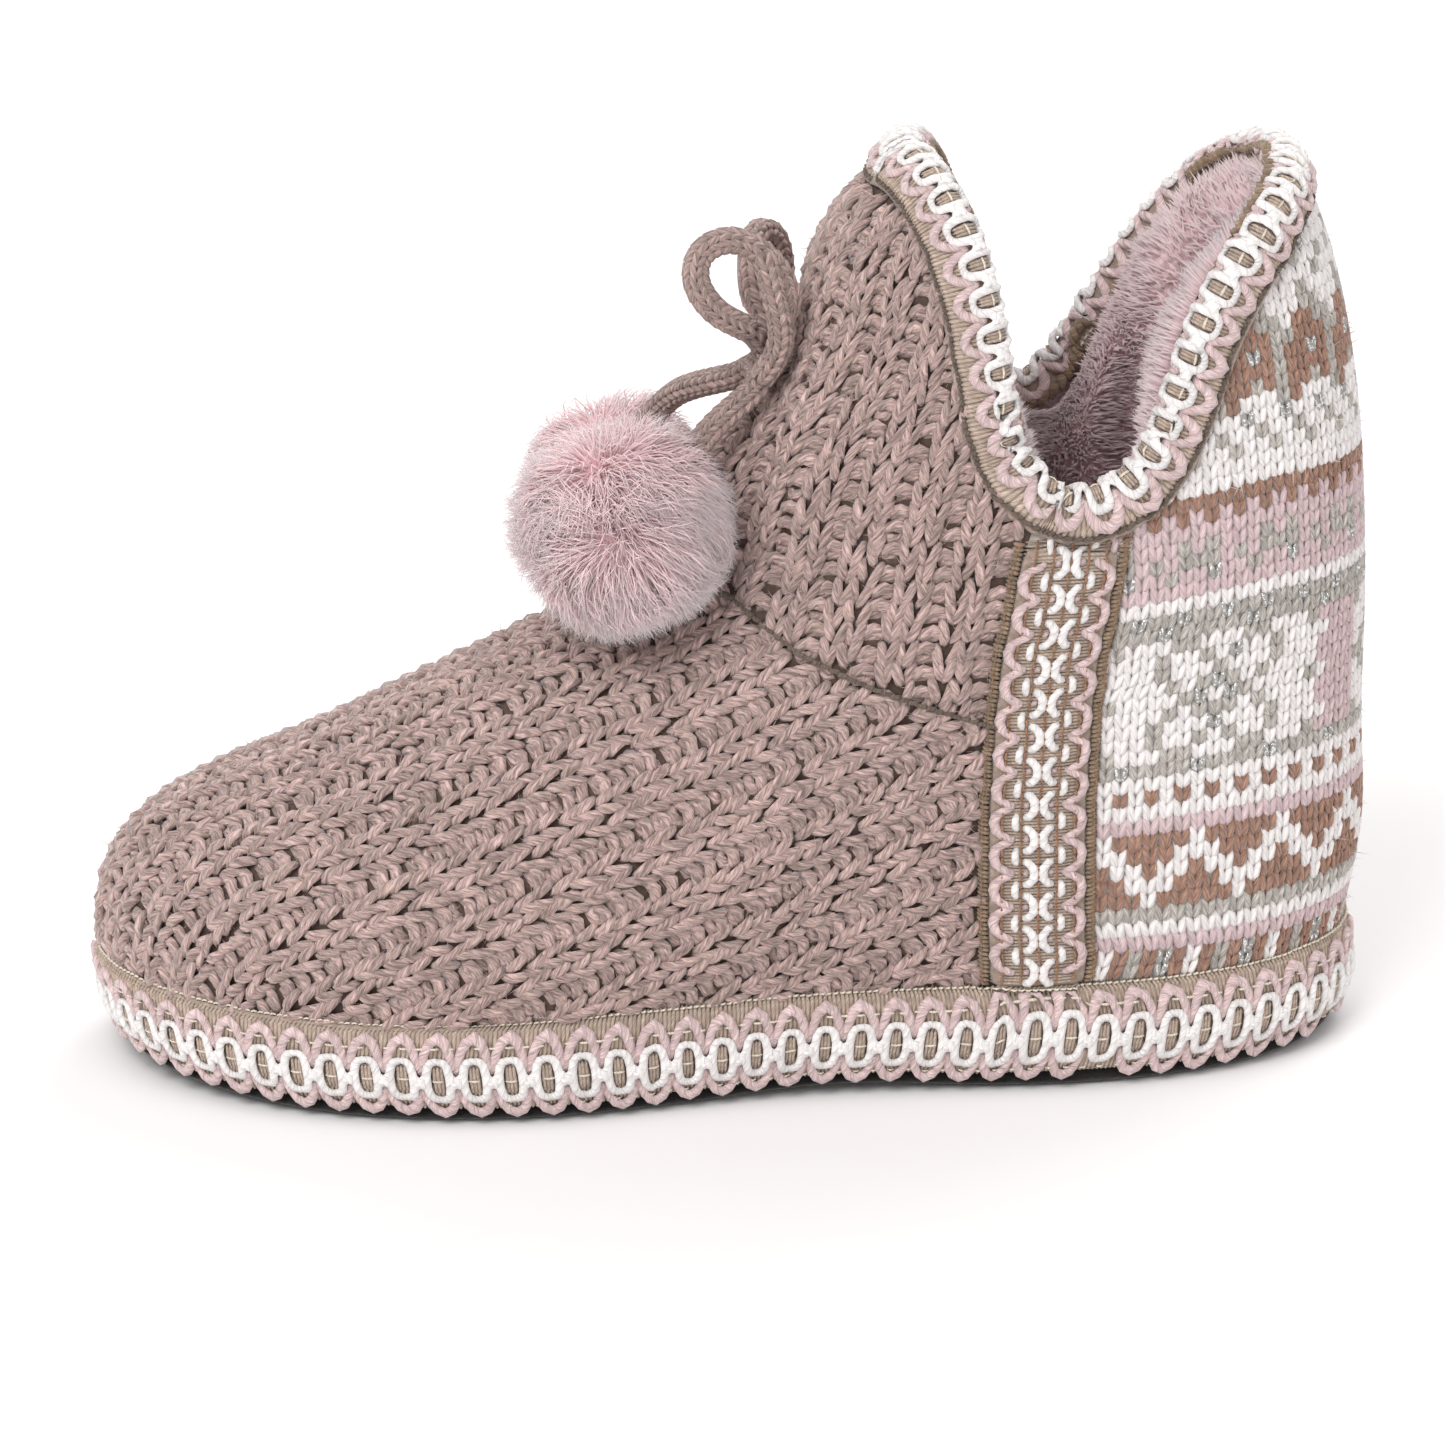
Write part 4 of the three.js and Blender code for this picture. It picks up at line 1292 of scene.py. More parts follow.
def gimp_parts(cloth_sheet, length, base, rib_low, rib_high, arch, slide=np.zeros_like):
    """Parts of the gimp braid for a closed sheet with a column each millimetre. slide moves its rings up."""
    centres = every(length, MOTIF, 4.5)
    parts = []
    middle = RING_MIDDLE + base
    base = base + slide(centres)
    for shape in (strand(arch, 2.2, 1.7, 5, 12), strand(SCALLOP, 2.2, 1.7, 5, 12)):
        parts.append(lay(cloth_sheet, shape, centres, PINK, base, 0.08))
    for shape in RING_PIECES + KNOTS:
        parts.append(lay(cloth_sheet, shape, centres, WHITE, base, 0.06))
    for shape in CORE_RIBS:
        parts.append(lay(cloth_sheet, shape, centres, TAN, base, 0.03))
    parts.append(lay(cloth_sheet, CORE_STITCH, centres, CREAM, base, 0.1))
    ribs = every(length, 0.94, 1.0)
    for low, high in ((rib_low, middle - 1), (middle + 1, rib_high)):
        rib = [
            (0, low, -0.1), (0, low * 0.8 + high * 0.2, 0.3), (0, low * 0.2 + high * 0.8, 0.3),
            (0, high, -0.1),
        ]
        rib = strand(rib, 1.0, 0.75, 4, 5)
        parts.append(lay(cloth_sheet, rib, ribs, TAN, 0.0, 0.03))
    return parts


def stitch_line(
    cloth_sheet, length, height, which, run=2.6, gap=0.6, width=0.5, lift=0.9, lean=0.0,
    slide=np.zeros_like,
):
    """A row of machine stitches along a closed sheet."""
    places = every(length, run + gap, 3.0)
    path = [(-run / 2, height - lean, lift - 0.4), (0, height, lift), (run / 2, height + lean, lift - 0.4)]
    return lay(cloth_sheet, strand(path, width, width, 4, 4), places, which, slide(places), 0.04)


# %% [markdown]
# The band round the sole is read off its solid with level rays from all round. The arc length at mid height
# spaces the columns, one a millimetre, and the rows follow the band's own lower and upper edge, so they
# rise at the toe.

# %% Sole band
BAND_ROWS = 22
BAND_RAYS = 720
BAND_PROUD = 1.0


def band_rows():
    """Columns of points on the band's solid and, above it, on what the tape is sewn to."""
    angles = np.linspace(0, math.tau, BAND_RAYS, endpoint=False)
    columns = []
    for angle in angles:
        way = np.array([math.cos(angle), math.sin(angle), 0.0])
        found = []
        for z in np.arange(0.2, 26, 0.4):
            spot = level_hit(band_tree, way, z)
            if not np.isnan(spot[0]) and spot @ way > 5:
                found.append(z)
        low, high = found[0] + 0.1, found[-1] - 0.1
        column = [level_hit(band_tree, way, z) for z in np.linspace(low, high, BAND_ROWS)]
        for z in high + band_rise(column[-1][0]) * np.array([0.35, 0.7, 1.0]):
            spots = [level_hit(tree, way, z) for tree in (upper_tree, *side_trees.values())]
            column.append(way * (np.nanmax([spot @ way for spot in spots]) + BAND_PROUD) + [0, 0, z])
        column = np.array(column)
        columns.append(resample(column, np.linspace(0, line_length(column) - 1e-6, BAND_ROWS)))
    return np.array(columns)


def closed_columns(columns, extra=12):
    """Columns of a closed loop respaced to a millimetre by arc length at mid height, with some repeated."""
    middle = columns[:, columns.shape[1] // 2]
    length = lengths_along(np.vstack([middle, middle[:1]]))
    count = round(length[-1])
    places = (np.arange(count + extra) * length[-1] / count) % length[-1]
    index = np.interp(places, length, np.arange(len(length)))
    low = index.astype(int) % len(columns)
    high = (low + 1) % len(columns)
    part = (index - index.astype(int))[:, None, None]
    return (columns[low] * (1 - part) + columns[high] * part).transpose(1, 0, 2), count


band_grid, BAND_LENGTH = closed_columns(band_rows())
# The scalloped edge hangs free below the solid: three more rows, bent down more than the band's own slope
down = unit((band_grid[1] - band_grid[4]) * [0.4, 0.4, 1.0])
below = [band_grid[1] + down * step * 0.95 for step in (3, 2, 1)]
band_grid = np.concatenate([np.array(below), band_grid[1:]])
BAND_HIGH = line_length(band_grid[:, BAND_LENGTH // 2])
band = sheet(band_grid, (BAND_HIGH / (len(band_grid) - 1), 1.0), lambda p: p * [1, 1, 0])
BAND_BASE = BAND_HIGH - 21.2
print(
    "band is", BAND_LENGTH, "mm round and", round(BAND_HIGH, 1), "mm high; lowest",
    band_grid[0, :, 2].min(),
)

# %% Sole band braid
parts = gimp_parts(band, BAND_LENGTH, BAND_BASE, 1.5, BAND_HIGH - 0.5, ARCH)
parts.append(stitch_line(band, BAND_LENGTH, BAND_HIGH - 0.9, CREAM, 1.2, 0.25, 0.55, 0.75, 0.12))
parts.append(stitch_line(band, BAND_LENGTH, BAND_BASE + 15.9, CREAM, 2.4, 0.7, 0.45, 1.3))
parts.append(stitch_line(band, BAND_LENGTH, BAND_BASE + 4.4, CREAM, 1.6, 2.2, 0.4, 1.35))
joined("sole_band_braid", parts, BRAID_YARNS)
skin_piece("sole_band_tape", "sole_braid", 1, TAPE_GROUND)

# %% [markdown]
# The collar's tape is folded over the knit's edge. Its crest is found with rays from above, and at each
# place along it a section square to the edge is read off the solid: up the outside, over the crest and down
# the inside.

# %% Collar crest and sections
COLLAR_AXIS = np.array([76.0, 0.0])
COLLAR_STEPS = 240
COLLAR_OUT = 11.6
COLLAR_IN = 6.6
COLLAR_ROWS = 28
SECTION_REACH = 15.0  # a hit further than this from the crest is on another part of the collar


def crest_line():
    """The collar's highest points, walked round the shaft and smoothed."""
    crest = []
    for angle in np.linspace(0, math.tau, COLLAR_STEPS, endpoint=False):
        way = np.array([math.cos(angle), math.sin(angle)])
        best = None
        for radius in np.arange(6, 90, 0.5):
            x, y = COLLAR_AXIS + way * radius
            spot = hit(collar_tree, (x, y, 260), (0, 0, -1))
            if not np.isnan(spot[0]) and (best is None or spot[2] > best[2]):
                best = spot
        crest.append(best)
    crest = np.array(crest)
    for _ in range(6):
        crest = (np.roll(crest, 1, axis=0) + 2 * crest + np.roll(crest, -1, axis=0)) / 4
    return crest


def collar_sections(crest):
    """Sections of the collar square to its crest, each evenly spaced from the outer edge to the inner one."""
    sections = []
    tangents = np.roll(crest, -2, axis=0) - np.roll(crest, 2, axis=0)
    for spot, along in zip(crest, tangents):
        along = along / np.linalg.norm(along)
        flat = np.array([spot[0] - COLLAR_AXIS[0], spot[1] - COLLAR_AXIS[1], 0.0])
        out = np.cross(along, [0, 0, 1.0])
        out /= np.linalg.norm(out)
        out = out if out @ flat > 0 else -out
        down = np.cross(along, out)
        down = down if down[2] < 0 else -down
        outer = [
            hit(collar_tree, spot + down * s + out * 30, -out) for s in np.arange(COLLAR_OUT, 1.4, -0.8)
        ]
        inner = [hit(collar_tree, spot + down * s - out * 14, out) for s in np.arange(1.6, COLLAR_IN, 0.8)]
        over = [hit(collar_tree, spot + out * s - down * 20, down) for s in np.arange(3, -3.1, -1.0)]
        line = np.array(outer + over + inner)
        good = ~np.isnan(line).any(1) & (np.linalg.norm(line - spot, axis=1) < SECTION_REACH)
        line = line[good]
        length = lengths_along(line)
        section = points_at(line, length, np.linspace(0, length[-1], COLLAR_ROWS))
        for _ in range(2):
            section[1:-1] = (section[:-2] + 2 * section[1:-1] + section[2:]) / 4
        sections.append(section)
    return np.array(sections)


crest = crest_line()
sections = collar_sections(crest)
COLLAR_HIGH = np.mean([line_length(section) for section in sections])
collar_grid, COLLAR_LENGTH = closed_columns(sections)
collar = sheet(collar_grid, (COLLAR_HIGH / (COLLAR_ROWS - 1), 1.0), lambda p: np.array([0.0, 0.0, 1.0]))
print("collar is", COLLAR_LENGTH, "mm round, its tape", round(COLLAR_HIGH, 1), "mm wide")

# %% [markdown]
# The tape isn't sewn on evenly. On the outer side its rings sit further over the crest in front, and its
# inner edge is drawn up to the crest behind.

# %% Collar braid
COLLAR_BASE = -0.6
near = collar_grid[COLLAR_ROWS // 2, :COLLAR_LENGTH]
FRONT_LEG = np.clip((70 - near[:, 0]) / 12, 0, 1) * np.clip((5 - near[:, 1]) / 10, 0, 1)
REAR_LEG = np.clip((near[:, 0] - 88) / 8, 0, 1) * np.clip((10 - near[:, 1]) / 10, 0, 1)


def rings_slide(columns):
    """The braid is sewn further over the crest on the front leg of the outer side."""
    return 1.7 * FRONT_LEG[columns.astype(int) % COLLAR_LENGTH]


def binding_slide(columns):
    """The inner edge of the tape is drawn up to the crest on the rear leg of the outer side."""
    return -2.3 * REAR_LEG[columns.astype(int) % COLLAR_LENGTH]


parts = gimp_parts(collar, COLLAR_LENGTH, COLLAR_BASE, 0.4, COLLAR_HIGH - 0.3, ARCH_FOLDED, rings_slide)
parts.append(stitch_line(collar, COLLAR_LENGTH, 0.9, SEAM, 1.7, -0.2, 1.0, 0.6, 0.3))
parts.append(stitch_line(collar, COLLAR_LENGTH, 16.6, DARK, 2.4, -0.5, 2.1, 1.3, 0.8, binding_slide))
parts.append(stitch_line(collar, COLLAR_LENGTH, COLLAR_BASE + 19.4, CREAM, 1.5, 0.3, 0.5, 0.7))
parts.append(stitch_line(collar, COLLAR_LENGTH, COLLAR_BASE + 21.4, CREAM, 1.5, 0.3, 0.5, 0.8))
joined("collar_gimp_braid", parts, BRAID_YARNS)
skin_piece("collar_tape", "collar_braid", 1, TAPE_GROUND)

# %% [markdown]
# The braid down the ankle seam is wider and plainer: white crosses with tan weft between them along the
# middle, pink scallops on both sides, five sewn lines down its length and an overlocked edge left and
# right.

# %% Ankle braid sheet
CROSS = 7.3
SIDE_HALF = 13.5
SIDE_BASE = 23.6
SIDE_TOP = {"outer": 121.0, "inner": 128.0}
SIDE_PITCH = 0.75


def side_sheet(side):
    """A sheet down the ankle, on the braid's solid or the upper, whichever stands further out."""
    sign = SIDE_Y[side]
    rows = []
    for z in np.arange(SIDE_BASE, SIDE_TOP[side], 1.0):
        middle = (braid_edge(side, z, False) + braid_edge(side, z, True)) / 2
        row = []
        for x in np.arange(-SIDE_HALF, SIDE_HALF + 0.1, SIDE_PITCH):
            spots = [side_hit(tree, middle + x, z, sign) for tree in (side_trees[side], upper_tree)]
            spots = [s for s in spots if not np.isnan(s[0])]
            row.append(max(spots, key=lambda s: s[1] * sign) if spots else np.full(3, np.nan))
        rows.append(row)
    grid = np.array(rows)
    for _ in range(3):
        grid[:, 1:-1] = (grid[:, :-2] + 2 * grid[:, 1:-1] + grid[:, 2:]) / 4
    return sheet(grid, (1.0, SIDE_PITCH), lambda p: np.array([0.0, sign, 0.0]))


# %% Ankle braid
def either_side(path):
    """A path on the right of the braid's middle, and the same turned to the left."""
    return [[(s * x, y, z) for x, y, z in path] for s in (1, -1)]


CROSS_PATH = [(3.4, -2.6, 0.3), (1.6, -2.0, 0.9), (0.75, 0, 1.0), (1.6, 2.0, 0.9), (3.4, 2.6, 0.3)]
CROSS_PIECES = [strand(path, 2.1, 1.7, 5, 7) for path in either_side(CROSS_PATH)]
BRACKET_PATH = [(4.2, 1.7, 0.2), (4.95, 3.65, 0.9), (4.2, 5.6, 0.2)]
BRACKETS = [strand(path, 1.8, 1.4, 5, 5) for path in either_side(BRACKET_PATH)]
SIDE_SCALLOP = [
    (4.9, -0.3, 0.3), (6.3, 0.5, 0.8), (8.2, 1.5, 0.8), (8.9, 3.65, 0.8),
    (8.2, 5.8, 0.8), (6.3, 6.8, 0.8), (4.9, 7.6, 0.3),
]
WEFT = strand([(-10.4, 0, -0.1), (-5, 0, 0.25), (0, 0, 0.3), (5, 0, 0.25), (10.4, 0, -0.1)], 0.7, 0.6, 4, 8)
SERGE_PATH = [(9.7, -0.4, 0.2), (11.1, 0, 1.5), (12.5, 0.4, 0.2)]
SERGE = [strand(path, 1.05, 1.0, 4, 4) for path in either_side(SERGE_PATH)]


def side_braid(side):
    """The braid over one ankle seam and its tape."""
    cloth_sheet = side_sheet(side)
    high = cloth_sheet["points"].shape[0] - 2.0
    centre = SIDE_HALF / SIDE_PITCH
    parts = []

    def stack(shape, places, which, wobble=0.05):
        """Copies of a template up the middle of the braid."""
        rows = places + rng.normal(0, wobble, len(places))
        placed, inside = wrap(cloth_sheet, shape, rows, np.full(len(places), centre))
        parts.append((shape, placed[inside], which, rng.random(inside.sum())))

    motifs = np.arange(3.6, high, CROSS)
    for shape in CROSS_PIECES + BRACKETS:
        stack(shape, motifs, WHITE)
    for path in either_side(SIDE_SCALLOP):
        stack(strand(path, 1.9, 1.6, 5, 12), motifs, PINK)
    for path in either_side([(1.9, 0, 0.5), (3.3, 0, 0.6)]):
        stack(strand(path, 1.3, 0.9, 4, 4), motifs, PINK)
    stack(WEFT, np.arange(1.0, high, 0.72), TAN, 0.03)
    for shape in SERGE:
        stack(shape, np.arange(1.0, high, 0.95), DARK, 0.05)
    for x in (-11.1, -7.4, -3.7, 0, 3.7, 7.4, 11.1):
        rise = 0.7 if abs(x) > 10 else 0.0
        stitch = strand(
            [(x, -0.95, 0.5 + rise), (x, 0, 1.35 + rise), (x, 0.95, 0.5 + rise)], 0.5, 0.5, 4, 4
        )
        stack(stitch, np.arange(2.0, high, 1.75), BROWN, 0.04)
    joined("ankle_braid_" + side, parts, BRAID_YARNS)
    skin_piece("ankle_tape_" + side, "side_braid_" + side, 1, TAPE_GROUND)


for side in SIDE_Y:
    side_braid(side)

# %% [markdown]
# The drawcord is a knitted tube of the same marled yarn, five columns of V stitches round a soft core. Each
# free stretch follows the points that its solid was made from. The two ends are one stretch.

# %% Drawcord
CORD_COLUMNS = 5
CORD_ROW = 2.3
CORD_SKIN = 2.2  # from the cord's middle to where its stitches are laid
LOOPS = {
    "outer": [
        (3.3, -8.4, 158.1), (0.4, -11, 160.2), (-4.6, -12.9, 163.8), (-8.4, -13.4, 169.6), (-8, -12.8, 175.2),
        (-4, -12, 178), (1, -11.6, 177.8), (6, -11.7, 174.4), (9.6, -12, 169), (10.4, -12.2, 164),
        (8.3, -9.4, 159.3),
    ],
    "inner": [
        (5.6, 0.5, 160), (4.6, 3.6, 164), (5, 9, 169.4), (7.2, 15, 172.3), (10.8, 19.2, 170.4),
        (12.6, 20, 164.6), (12, 15.4, 159.2), (10.2, 9.4, 156.4), (7.7, 3.3, 155.2),
    ],
}
END_OUTER = [
    (5.3, -8.6, 148.2), (3.2, -11.2, 145.6), (-1, -13.8, 143), (-5.6, -16, 139.6), (-10.1, -18.1, 135)
]
END_INNER = [
    (4.1, -0.6, 147.9), (2, 1, 145.8), (-2.2, 4.8, 143.6), (-6.4, 10, 141), (-10, 15.8, 137.6),
    (-13.4, 21.4, 132.4),
]
POMPOM_OUTER = (-24.9, -23.6, 121.6)
POMPOM_INNER = (-24.3, 28.8, 114.9)


def even_path(points, step):
    """A smooth path through points, evenly stepped."""
    fine = spline(points, np.linspace(0, 1, 400))
    length = lengths_along(fine)
    places = np.linspace(0, length[-1], max(3, round(length[-1] / step) + 1))
    return points_at(fine, length, places), length[-1]


def path_frames(path):
    """Two directions square to a path at each point, carried along it without turning."""
    step = unit(np.gradient(path, axis=0))
    side = np.cross(step[0], [0.3, 0.5, 1.0])
    sides = []
    for way in step:
        side = side - way * (side @ way)
        side /= np.linalg.norm(side)
        sides.append(side)
    sides = np.array(sides)
    return sides, np.cross(step, sides)


def tube_sheet(path, radius, columns, row):
    """A sheet round a path, with its first three columns repeated at the end."""
    side, other = path_frames(path)
    turns = (np.arange(columns + 3) * math.tau / columns)[None, :, None]
    grid = path[:, None] + radius * (side[:, None] * np.cos(turns) + other[:, None] * np.sin(turns))
    return sheet(grid, (row, math.tau * radius / columns), lambda p: p - path[len(path) // 2])


# %% Knitted cord
CORD_LEG = strand(
    [(0.25, -1.7, -0.5), (0.5, -0.5, 0.45), (0.95, 1.0, 0.5), (1.2, 2.2, -0.4)], 1.5, 1.35, 5, 5
)


def knitted_cord(name, points, hides=()):
    """A stretch of the drawcord. Returns the piece, its path in metres and its length."""
    path, length = even_path(points, CORD_ROW)
    skin = tube_sheet(path, CORD_SKIN, CORD_COLUMNS, CORD_ROW)
    rows, columns = np.meshgrid(np.arange(0, len(path)), np.arange(1, CORD_COLUMNS + 1), indexing="ij")
    rows, columns = rows.ravel().astype(float), columns.ravel().astype(float)
    parts = []
    for shape in (CORD_LEG, mirrored(CORD_LEG)):
        placed, inside = wrap(skin, shape, rows, columns)
        parts.append((shape, placed[inside], 0, rng.random(inside.sum())))
    core = strand([(0, 0, 0), (0, length, 0)], 3.9, 3.9, 8, 24, 0.3)
    side, other = path_frames(path)
    t = np.clip(core["points"][:, 1] / length, 0, 1) * (len(path) - 1)
    i = np.minimum(t.astype(int), len(path) - 2)
    f = (t - i)[:, None]
    centre = path[i] * (1 - f) + path[i + 1] * f
    bent = centre + side[i] * core["points"][:, :1] + other[i] * core["points"][:, 2:3]
    parts.append((core, bent[None], 0, np.full(1, 0.3)))
    piece = joined(name, parts, [MARL_CORD], hides)
    return piece, [tuple(p * MM) for p in path], length


for side, points in LOOPS.items():
    loop, path, length = knitted_cord("bow_loop_" + side, points, ("drawcord_loop_" + side,))
    print(side, "loop", round(length, 1))

# %% [markdown]
# The knot is made of short turns of the same cord. One comes down beside the loop and runs on into the near
# end, one lies against the shaft and one passes through the middle, so no daylight shows between them.

# %% Knot
KNOT_TURNS = {
    "over": [
        (5.4, -12.6, 176.4), (7.0, -14.0, 169.5), (8.6, -13.8, 162.5),
        (9.0, -12.6, 156.5), (7.2, -11.6, 151.5), (4.3, -11.6, 147.8),
    ],
    "side": [(10.6, -9.0, 165.0), (12.2, -7.6, 160.5), (11.4, -7.2, 155.0), (8.2, -7.2, 150.6)],
    "under": [(2.6, -8.2, 158.6), (5.4, -6.4, 155.4), (6.8, -3.4, 151.6), (5.6, 0.2, 149.0)],
    "back": [(4.9, 2.4, 162.6), (6.4, -1.4, 159.6), (7.6, -4.6, 156.2), (7.6, -5.4, 152.0)],
}
for turn, points in KNOT_TURNS.items():
    knitted_cord("bow_knot_" + turn, points, ("drawcord_knot",) if turn == "over" else ())[0]

# %% [markdown]
# A pompom is a ball of faux fur. Its hairs stand on a core, gather into tufts and swirl a little, so that
# the light catches them in locks, and their own weight draws them down.

# %% Pompoms
POMPOM_TUFTS = 130
POMPOM_CORE = 16.5
POMPOM_HAIR = 0.27
POMPOM_SAG = (0.12, 0, -0.24)
LONG_SHARE = 0.6
bm = bmesh.new()
bm.loops.layers.uv.new("UVMap")
bmesh.ops.create_icosphere(bm, subdivisions=3, radius=1.0)
BALL = template_of(bm)


def pompom(name, centre, reach, count, hides):
    """A fur ball. reach is how far its longest hairs stand from the centre."""
    ways = unit(rng.permutation(even_ball(count)) + rng.normal(0, 0.03, (count, 3)))
    tufts = unit(even_ball(POMPOM_TUFTS) + rng.normal(0, 0.09, (POMPOM_TUFTS, 3)))
    nearest = (ways @ tufts.T).argmax(1)
    gather = np.clip(0.6 + rng.normal(0, 0.22, count), 0, 0.95)[:, None]
    swirl = np.cross(ways, [0.4, 0.7, 0.6]) * np.sin(4.2 * ways @ [0.6, -0.5, 0.6] + 1)[:, None]
    swirl += np.cross(ways, [0.8, -0.3, 0.5]) * np.cos(5.1 * ways @ [-0.3, 0.4, 0.9])[:, None]
    lean = ways * (1 - gather) + tufts[nearest] * gather + 0.42 * swirl + rng.normal(0, 0.14, ways.shape)
    lean = unit(lean + POMPOM_SAG)
    far = reach + rng.normal(0, 1.0, POMPOM_TUFTS)[nearest] - 3.2 * rng.random(count) ** 2
    roots = np.array(centre) + ways * (POMPOM_CORE - 1)
    tips = np.array(centre) + lean * far[:, None]
    bow = ways * (1.6 + rng.normal(0, 0.6, count))[:, None] + rng.normal(0, 0.6, ways.shape)
    shade = np.clip(0.5 + (rng.random(POMPOM_TUFTS)[nearest] - 0.5) * 0.4 + rng.normal(0, 0.2, count), 0, 1)
    core = np.array(centre) + BALL["points"] * POMPOM_CORE
    long = np.arange(count) < count * LONG_SHARE
    # The core's UVs are all zero, so it takes the hairs' root colour: painted shade inside the ball
    parts = [(BALL, core[None], 0, np.full(1, 0.5))]
    for shape, chosen in ((LONG_HAIR, long), (SHORT_HAIR, ~long)):
        placed = hairs(shape, roots[chosen], tips[chosen], bow[chosen], POMPOM_HAIR)
        parts.append((shape, placed, 0, shade[chosen]))
    return joined(name, parts, [FUR_POMPOM], hides)


pompom_outer = pompom("fur_pompom_outer", POMPOM_OUTER, 24.4, 13000, ("pompom_outer",))
pompom_inner = pompom(
    "fur_pompom_inner", np.add(POMPOM_INNER, (3.0, 0.0, -2.0)), 21.6, 6000, ("pompom_inner",)
)

# %% [markdown]
# Both free ends are one stretch of cord, from the middle of one pompom's edge through the knot to the
# other's.

# %% Cord ends
both_ends = [tuple(np.array(END_OUTER[-1]) * 0.5 + np.array(POMPOM_OUTER) * 0.5)] + END_OUTER[::-1]
both_ends += END_INNER + [tuple(np.array(END_INNER[-1]) * 0.5 + np.array(POMPOM_INNER) * 0.5)]
ends, path, length = knitted_cord("bow_ends", both_ends, ("drawcord_end_outer", "drawcord_end_inner"))
print("both ends", round(length, 1))

# %% [markdown]
# The lining is a long-pile fur fabric that is wider than the shaft, so it lies in soft folds. A backing is
# read off the inside of the wall, brought inwards in folds that lean with the collar, and hairs are set on
# it.

# %% Lining backing
LINING_TURNS = 160
LINING_ROWS = 36
LINING_BASE = 56.0
# Each fold is the angle of its middle round the shaft and half its width, in degrees, and its depth
FOLDS = [
    (15, 16, 5.0), (48, 14, 5.5), (82, 15, 7.0), (117, 13, 6.0), (150, 14, 4.5),
    (196, 16, 4.0), (232, 14, 5.5), (268, 13, 4.5), (300, 14, 4.0), (346, 12, 4.0),
]
ROLL = (306, 34, 9.0)


def fold_at(angle, z, depth):
    """How far the lining stands in from the wall, at a height and a depth below its upper edge."""
    total = 0.0
    for middle, half_wide, size in FOLDS:
        lean = middle + 0.16 * (z - 130) * math.cos(math.radians(middle))
        away = (angle - lean + 180) % 360 - 180
        total += size * math.exp(-((away / half_wide) ** 2))
    middle, half_wide, size = ROLL
    away = (angle - middle + 180) % 360 - 180
    roll = size * math.exp(-((away / half_wide) ** 4)) * math.exp(-(((depth - 7) / 10) ** 2))
    return 1.6 + total * min(1.0, 0.35 + depth / 14) + roll


def lining_grid():
    """Columns at even steps along the crest, from deep in the shaft to just under the collar's inner edge."""
    closed = np.vstack([crest, crest[:1]])
    length = lengths_along(closed)
    rim = points_at(closed, length, np.linspace(0, length[-1], LINING_TURNS + 1))
    step = np.gradient(rim, axis=0)
    level = np.linalg.norm(step[:, :2], axis=1) / np.linalg.norm(step, axis=1)
    tops = rim[:, 2] - 7.0 / np.maximum(level, 0.35)
    angles = np.degrees(np.arctan2(rim[:, 1], rim[:, 0] - COLLAR_AXIS[0]))
    grid = []
    for share in np.linspace(0, 1, LINING_ROWS):
        row = []
        for angle, top, spot in zip(angles, tops, rim):
            z = LINING_BASE + (top - LINING_BASE) * share
            way = np.array([math.cos(math.radians(angle)), math.sin(math.radians(angle)), 0.0])
            start = np.array([COLLAR_AXIS[0], 0.0, z])
            wall = hit(upper_tree, start, way)
            if np.isnan(wall[0]):
                wall = np.array([spot[0], spot[1], z])
            reach = np.linalg.norm(wall - start)
            row.append(wall - way * min(fold_at(angle, z, top - z), reach - 4))
        grid.append(row)
    return np.array(grid)


lining_points = lining_grid()
lining_points[:, -1] = lining_points[:, 0]
lining = sheet(lining_points, (1.0, 1.0), lambda p: np.array([COLLAR_AXIS[0] - p[0], -p[1], 0.0]))

bm = bmesh.new()
bm.loops.layers.uv.new("UVMap")
bmesh.ops.create_grid(bm, x_segments=LINING_TURNS, y_segments=LINING_ROWS - 1, size=0.5, calc_uvs=True)
backing = template_of(bm)
spread = backing["points"] + 0.5
i = np.clip(np.rint(spread[:, 1] * (LINING_ROWS - 1)).astype(int), 0, LINING_ROWS - 1)
j = np.clip(np.rint(spread[:, 0] * LINING_TURNS).astype(int), 0, LINING_TURNS)
backing_placed = lining_points[i, j]

# %% Lining hairs
LINING_HAIRS = 26000
LINING_HAIR_LENGTH = 4.2
rows = (1 - rng.random(LINING_HAIRS) ** 2.6) * (LINING_ROWS - 1.01)
turns = rng.random(LINING_HAIRS) * (LINING_TURNS - 0.01)
i, j = rows.astype(int), turns.astype(int)
fi, fj = (rows - i)[:, None], (turns - j)[:, None]
roots, outs = (between(lining[field], i, j, fi, fj) for field in ("points", "normal"))
swirl = np.stack(
    [np.sin(roots[:, 2] / 9), np.cos(roots[:, 0] / 8), 0.8 + 0.5 * np.sin(roots[:, 1] / 7)], axis=1
)
hair_way = unit(outs * 0.8 + 0.55 * swirl + rng.normal(0, 0.2, roots.shape))
x, y, z = roots.T
tuft = np.sin(x * 1.3 + 2 * np.sin(z * 0.4)) * np.sin(z * 0.9 + 2 * np.sin(y * 0.5))
tips = roots + hair_way * (LINING_HAIR_LENGTH + 0.9 * tuft + rng.normal(0, 0.5, LINING_HAIRS))[:, None]
shade = np.clip(rng.normal(0.5, 0.2, LINING_HAIRS), 0, 1)
parts = [
    (backing, backing_placed[None], 1, np.full(1, 0.5)),
    (SHORT_HAIR, hairs(SHORT_HAIR, roots - outs * 0.4, tips, np.zeros(roots.shape), 0.5), 0, shade),
]
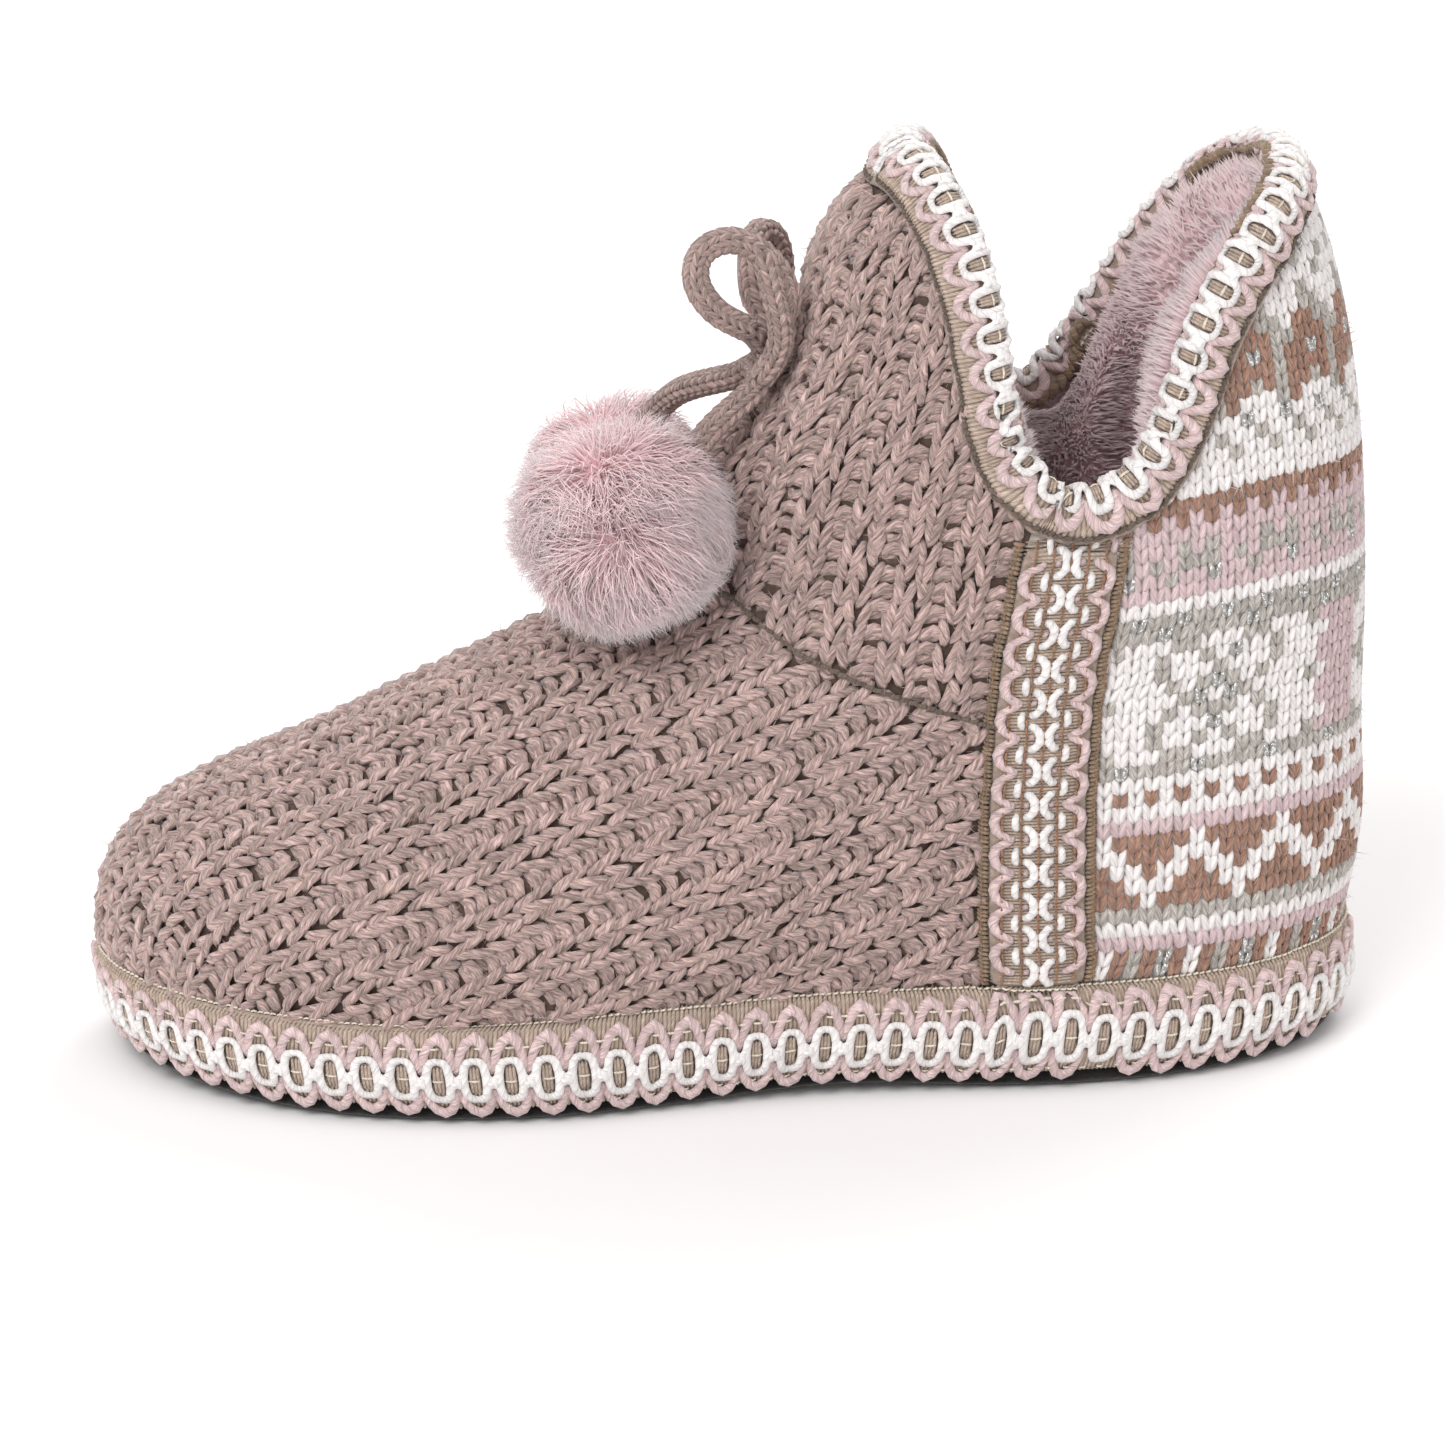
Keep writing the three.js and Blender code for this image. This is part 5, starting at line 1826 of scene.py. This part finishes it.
joined("shaft_fur_lining", parts, [FUR_LINING, LINING_GROUND])

# %% [markdown]
# The footbed is a soft pad with a plush cover, crowned a little between its edges. The sole under it is a
# thick ribbed textile, whose dark edge shows below the band.

# %% Footbed and sole
footbed_piece = skin_piece("footbed_pad", "insole", 2, FOOTBED_GROUND)
skin_piece("textile_sole", "outsole", 2, SOLE_GROUND)

# %% [markdown]
# The floor is plain and pale and the light is that of a soft studio: a bright sky all round, one large lamp
# above the camera's left and a weaker one behind.

# %% Floor and light
FLOOR_SIZE = 8.0
floor_mesh = bpy.data.meshes.new("floor")
bm = bmesh.new()
bmesh.ops.create_grid(bm, x_segments=1, y_segments=1, size=FLOOR_SIZE / 2)
bm.to_mesh(floor_mesh)
bm.free()
floor = bpy.data.objects.new("floor", floor_mesh)
bpy.context.scene.collection.objects.link(floor)
floor_paint, tree = blank("pale_floor")
pale = add(tree, "ShaderNodeBsdfPrincipled", {"Base Color": linear("#FBFAFA"), "Roughness": 0.9})
add(tree, "ShaderNodeOutputMaterial", {"Surface": pale.outputs[0]})
floor_mesh.materials.append(floor_paint)

world = bpy.data.worlds.new("soft_sky")
bpy.context.scene.world = world
world.use_nodes = True
world.node_tree.nodes["Background"].inputs["Color"].default_value = (1.0, 0.99, 0.98, 1.0)
world.node_tree.nodes["Background"].inputs["Strength"].default_value = 0.75
for name, place, size, power in [
    ("key", (-0.9, -1.3, 1.7), 1.2, 26.0),
    ("rim", (0.9, 1.2, 1.5), 1.2, 14.0),
]:
    lamp = bpy.data.objects.new(name, bpy.data.lights.new(name, "AREA"))
    lamp.data.size = size
    lamp.data.energy = power
    lamp.location = place
    lamp.rotation_euler = (AIM - Vector(place)).to_track_quat("-Z", "Y").to_euler()
    bpy.context.scene.collection.objects.link(lamp)
bpy.context.scene.view_settings.view_transform = "Standard"

# %% Sizes of the added pieces, and the finish
added = [o for o in bpy.context.scene.objects if o.type == "MESH" and o.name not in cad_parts]
print("triangles added", sum(len(p.vertices) - 2 for o in added for p in o.data.polygons))
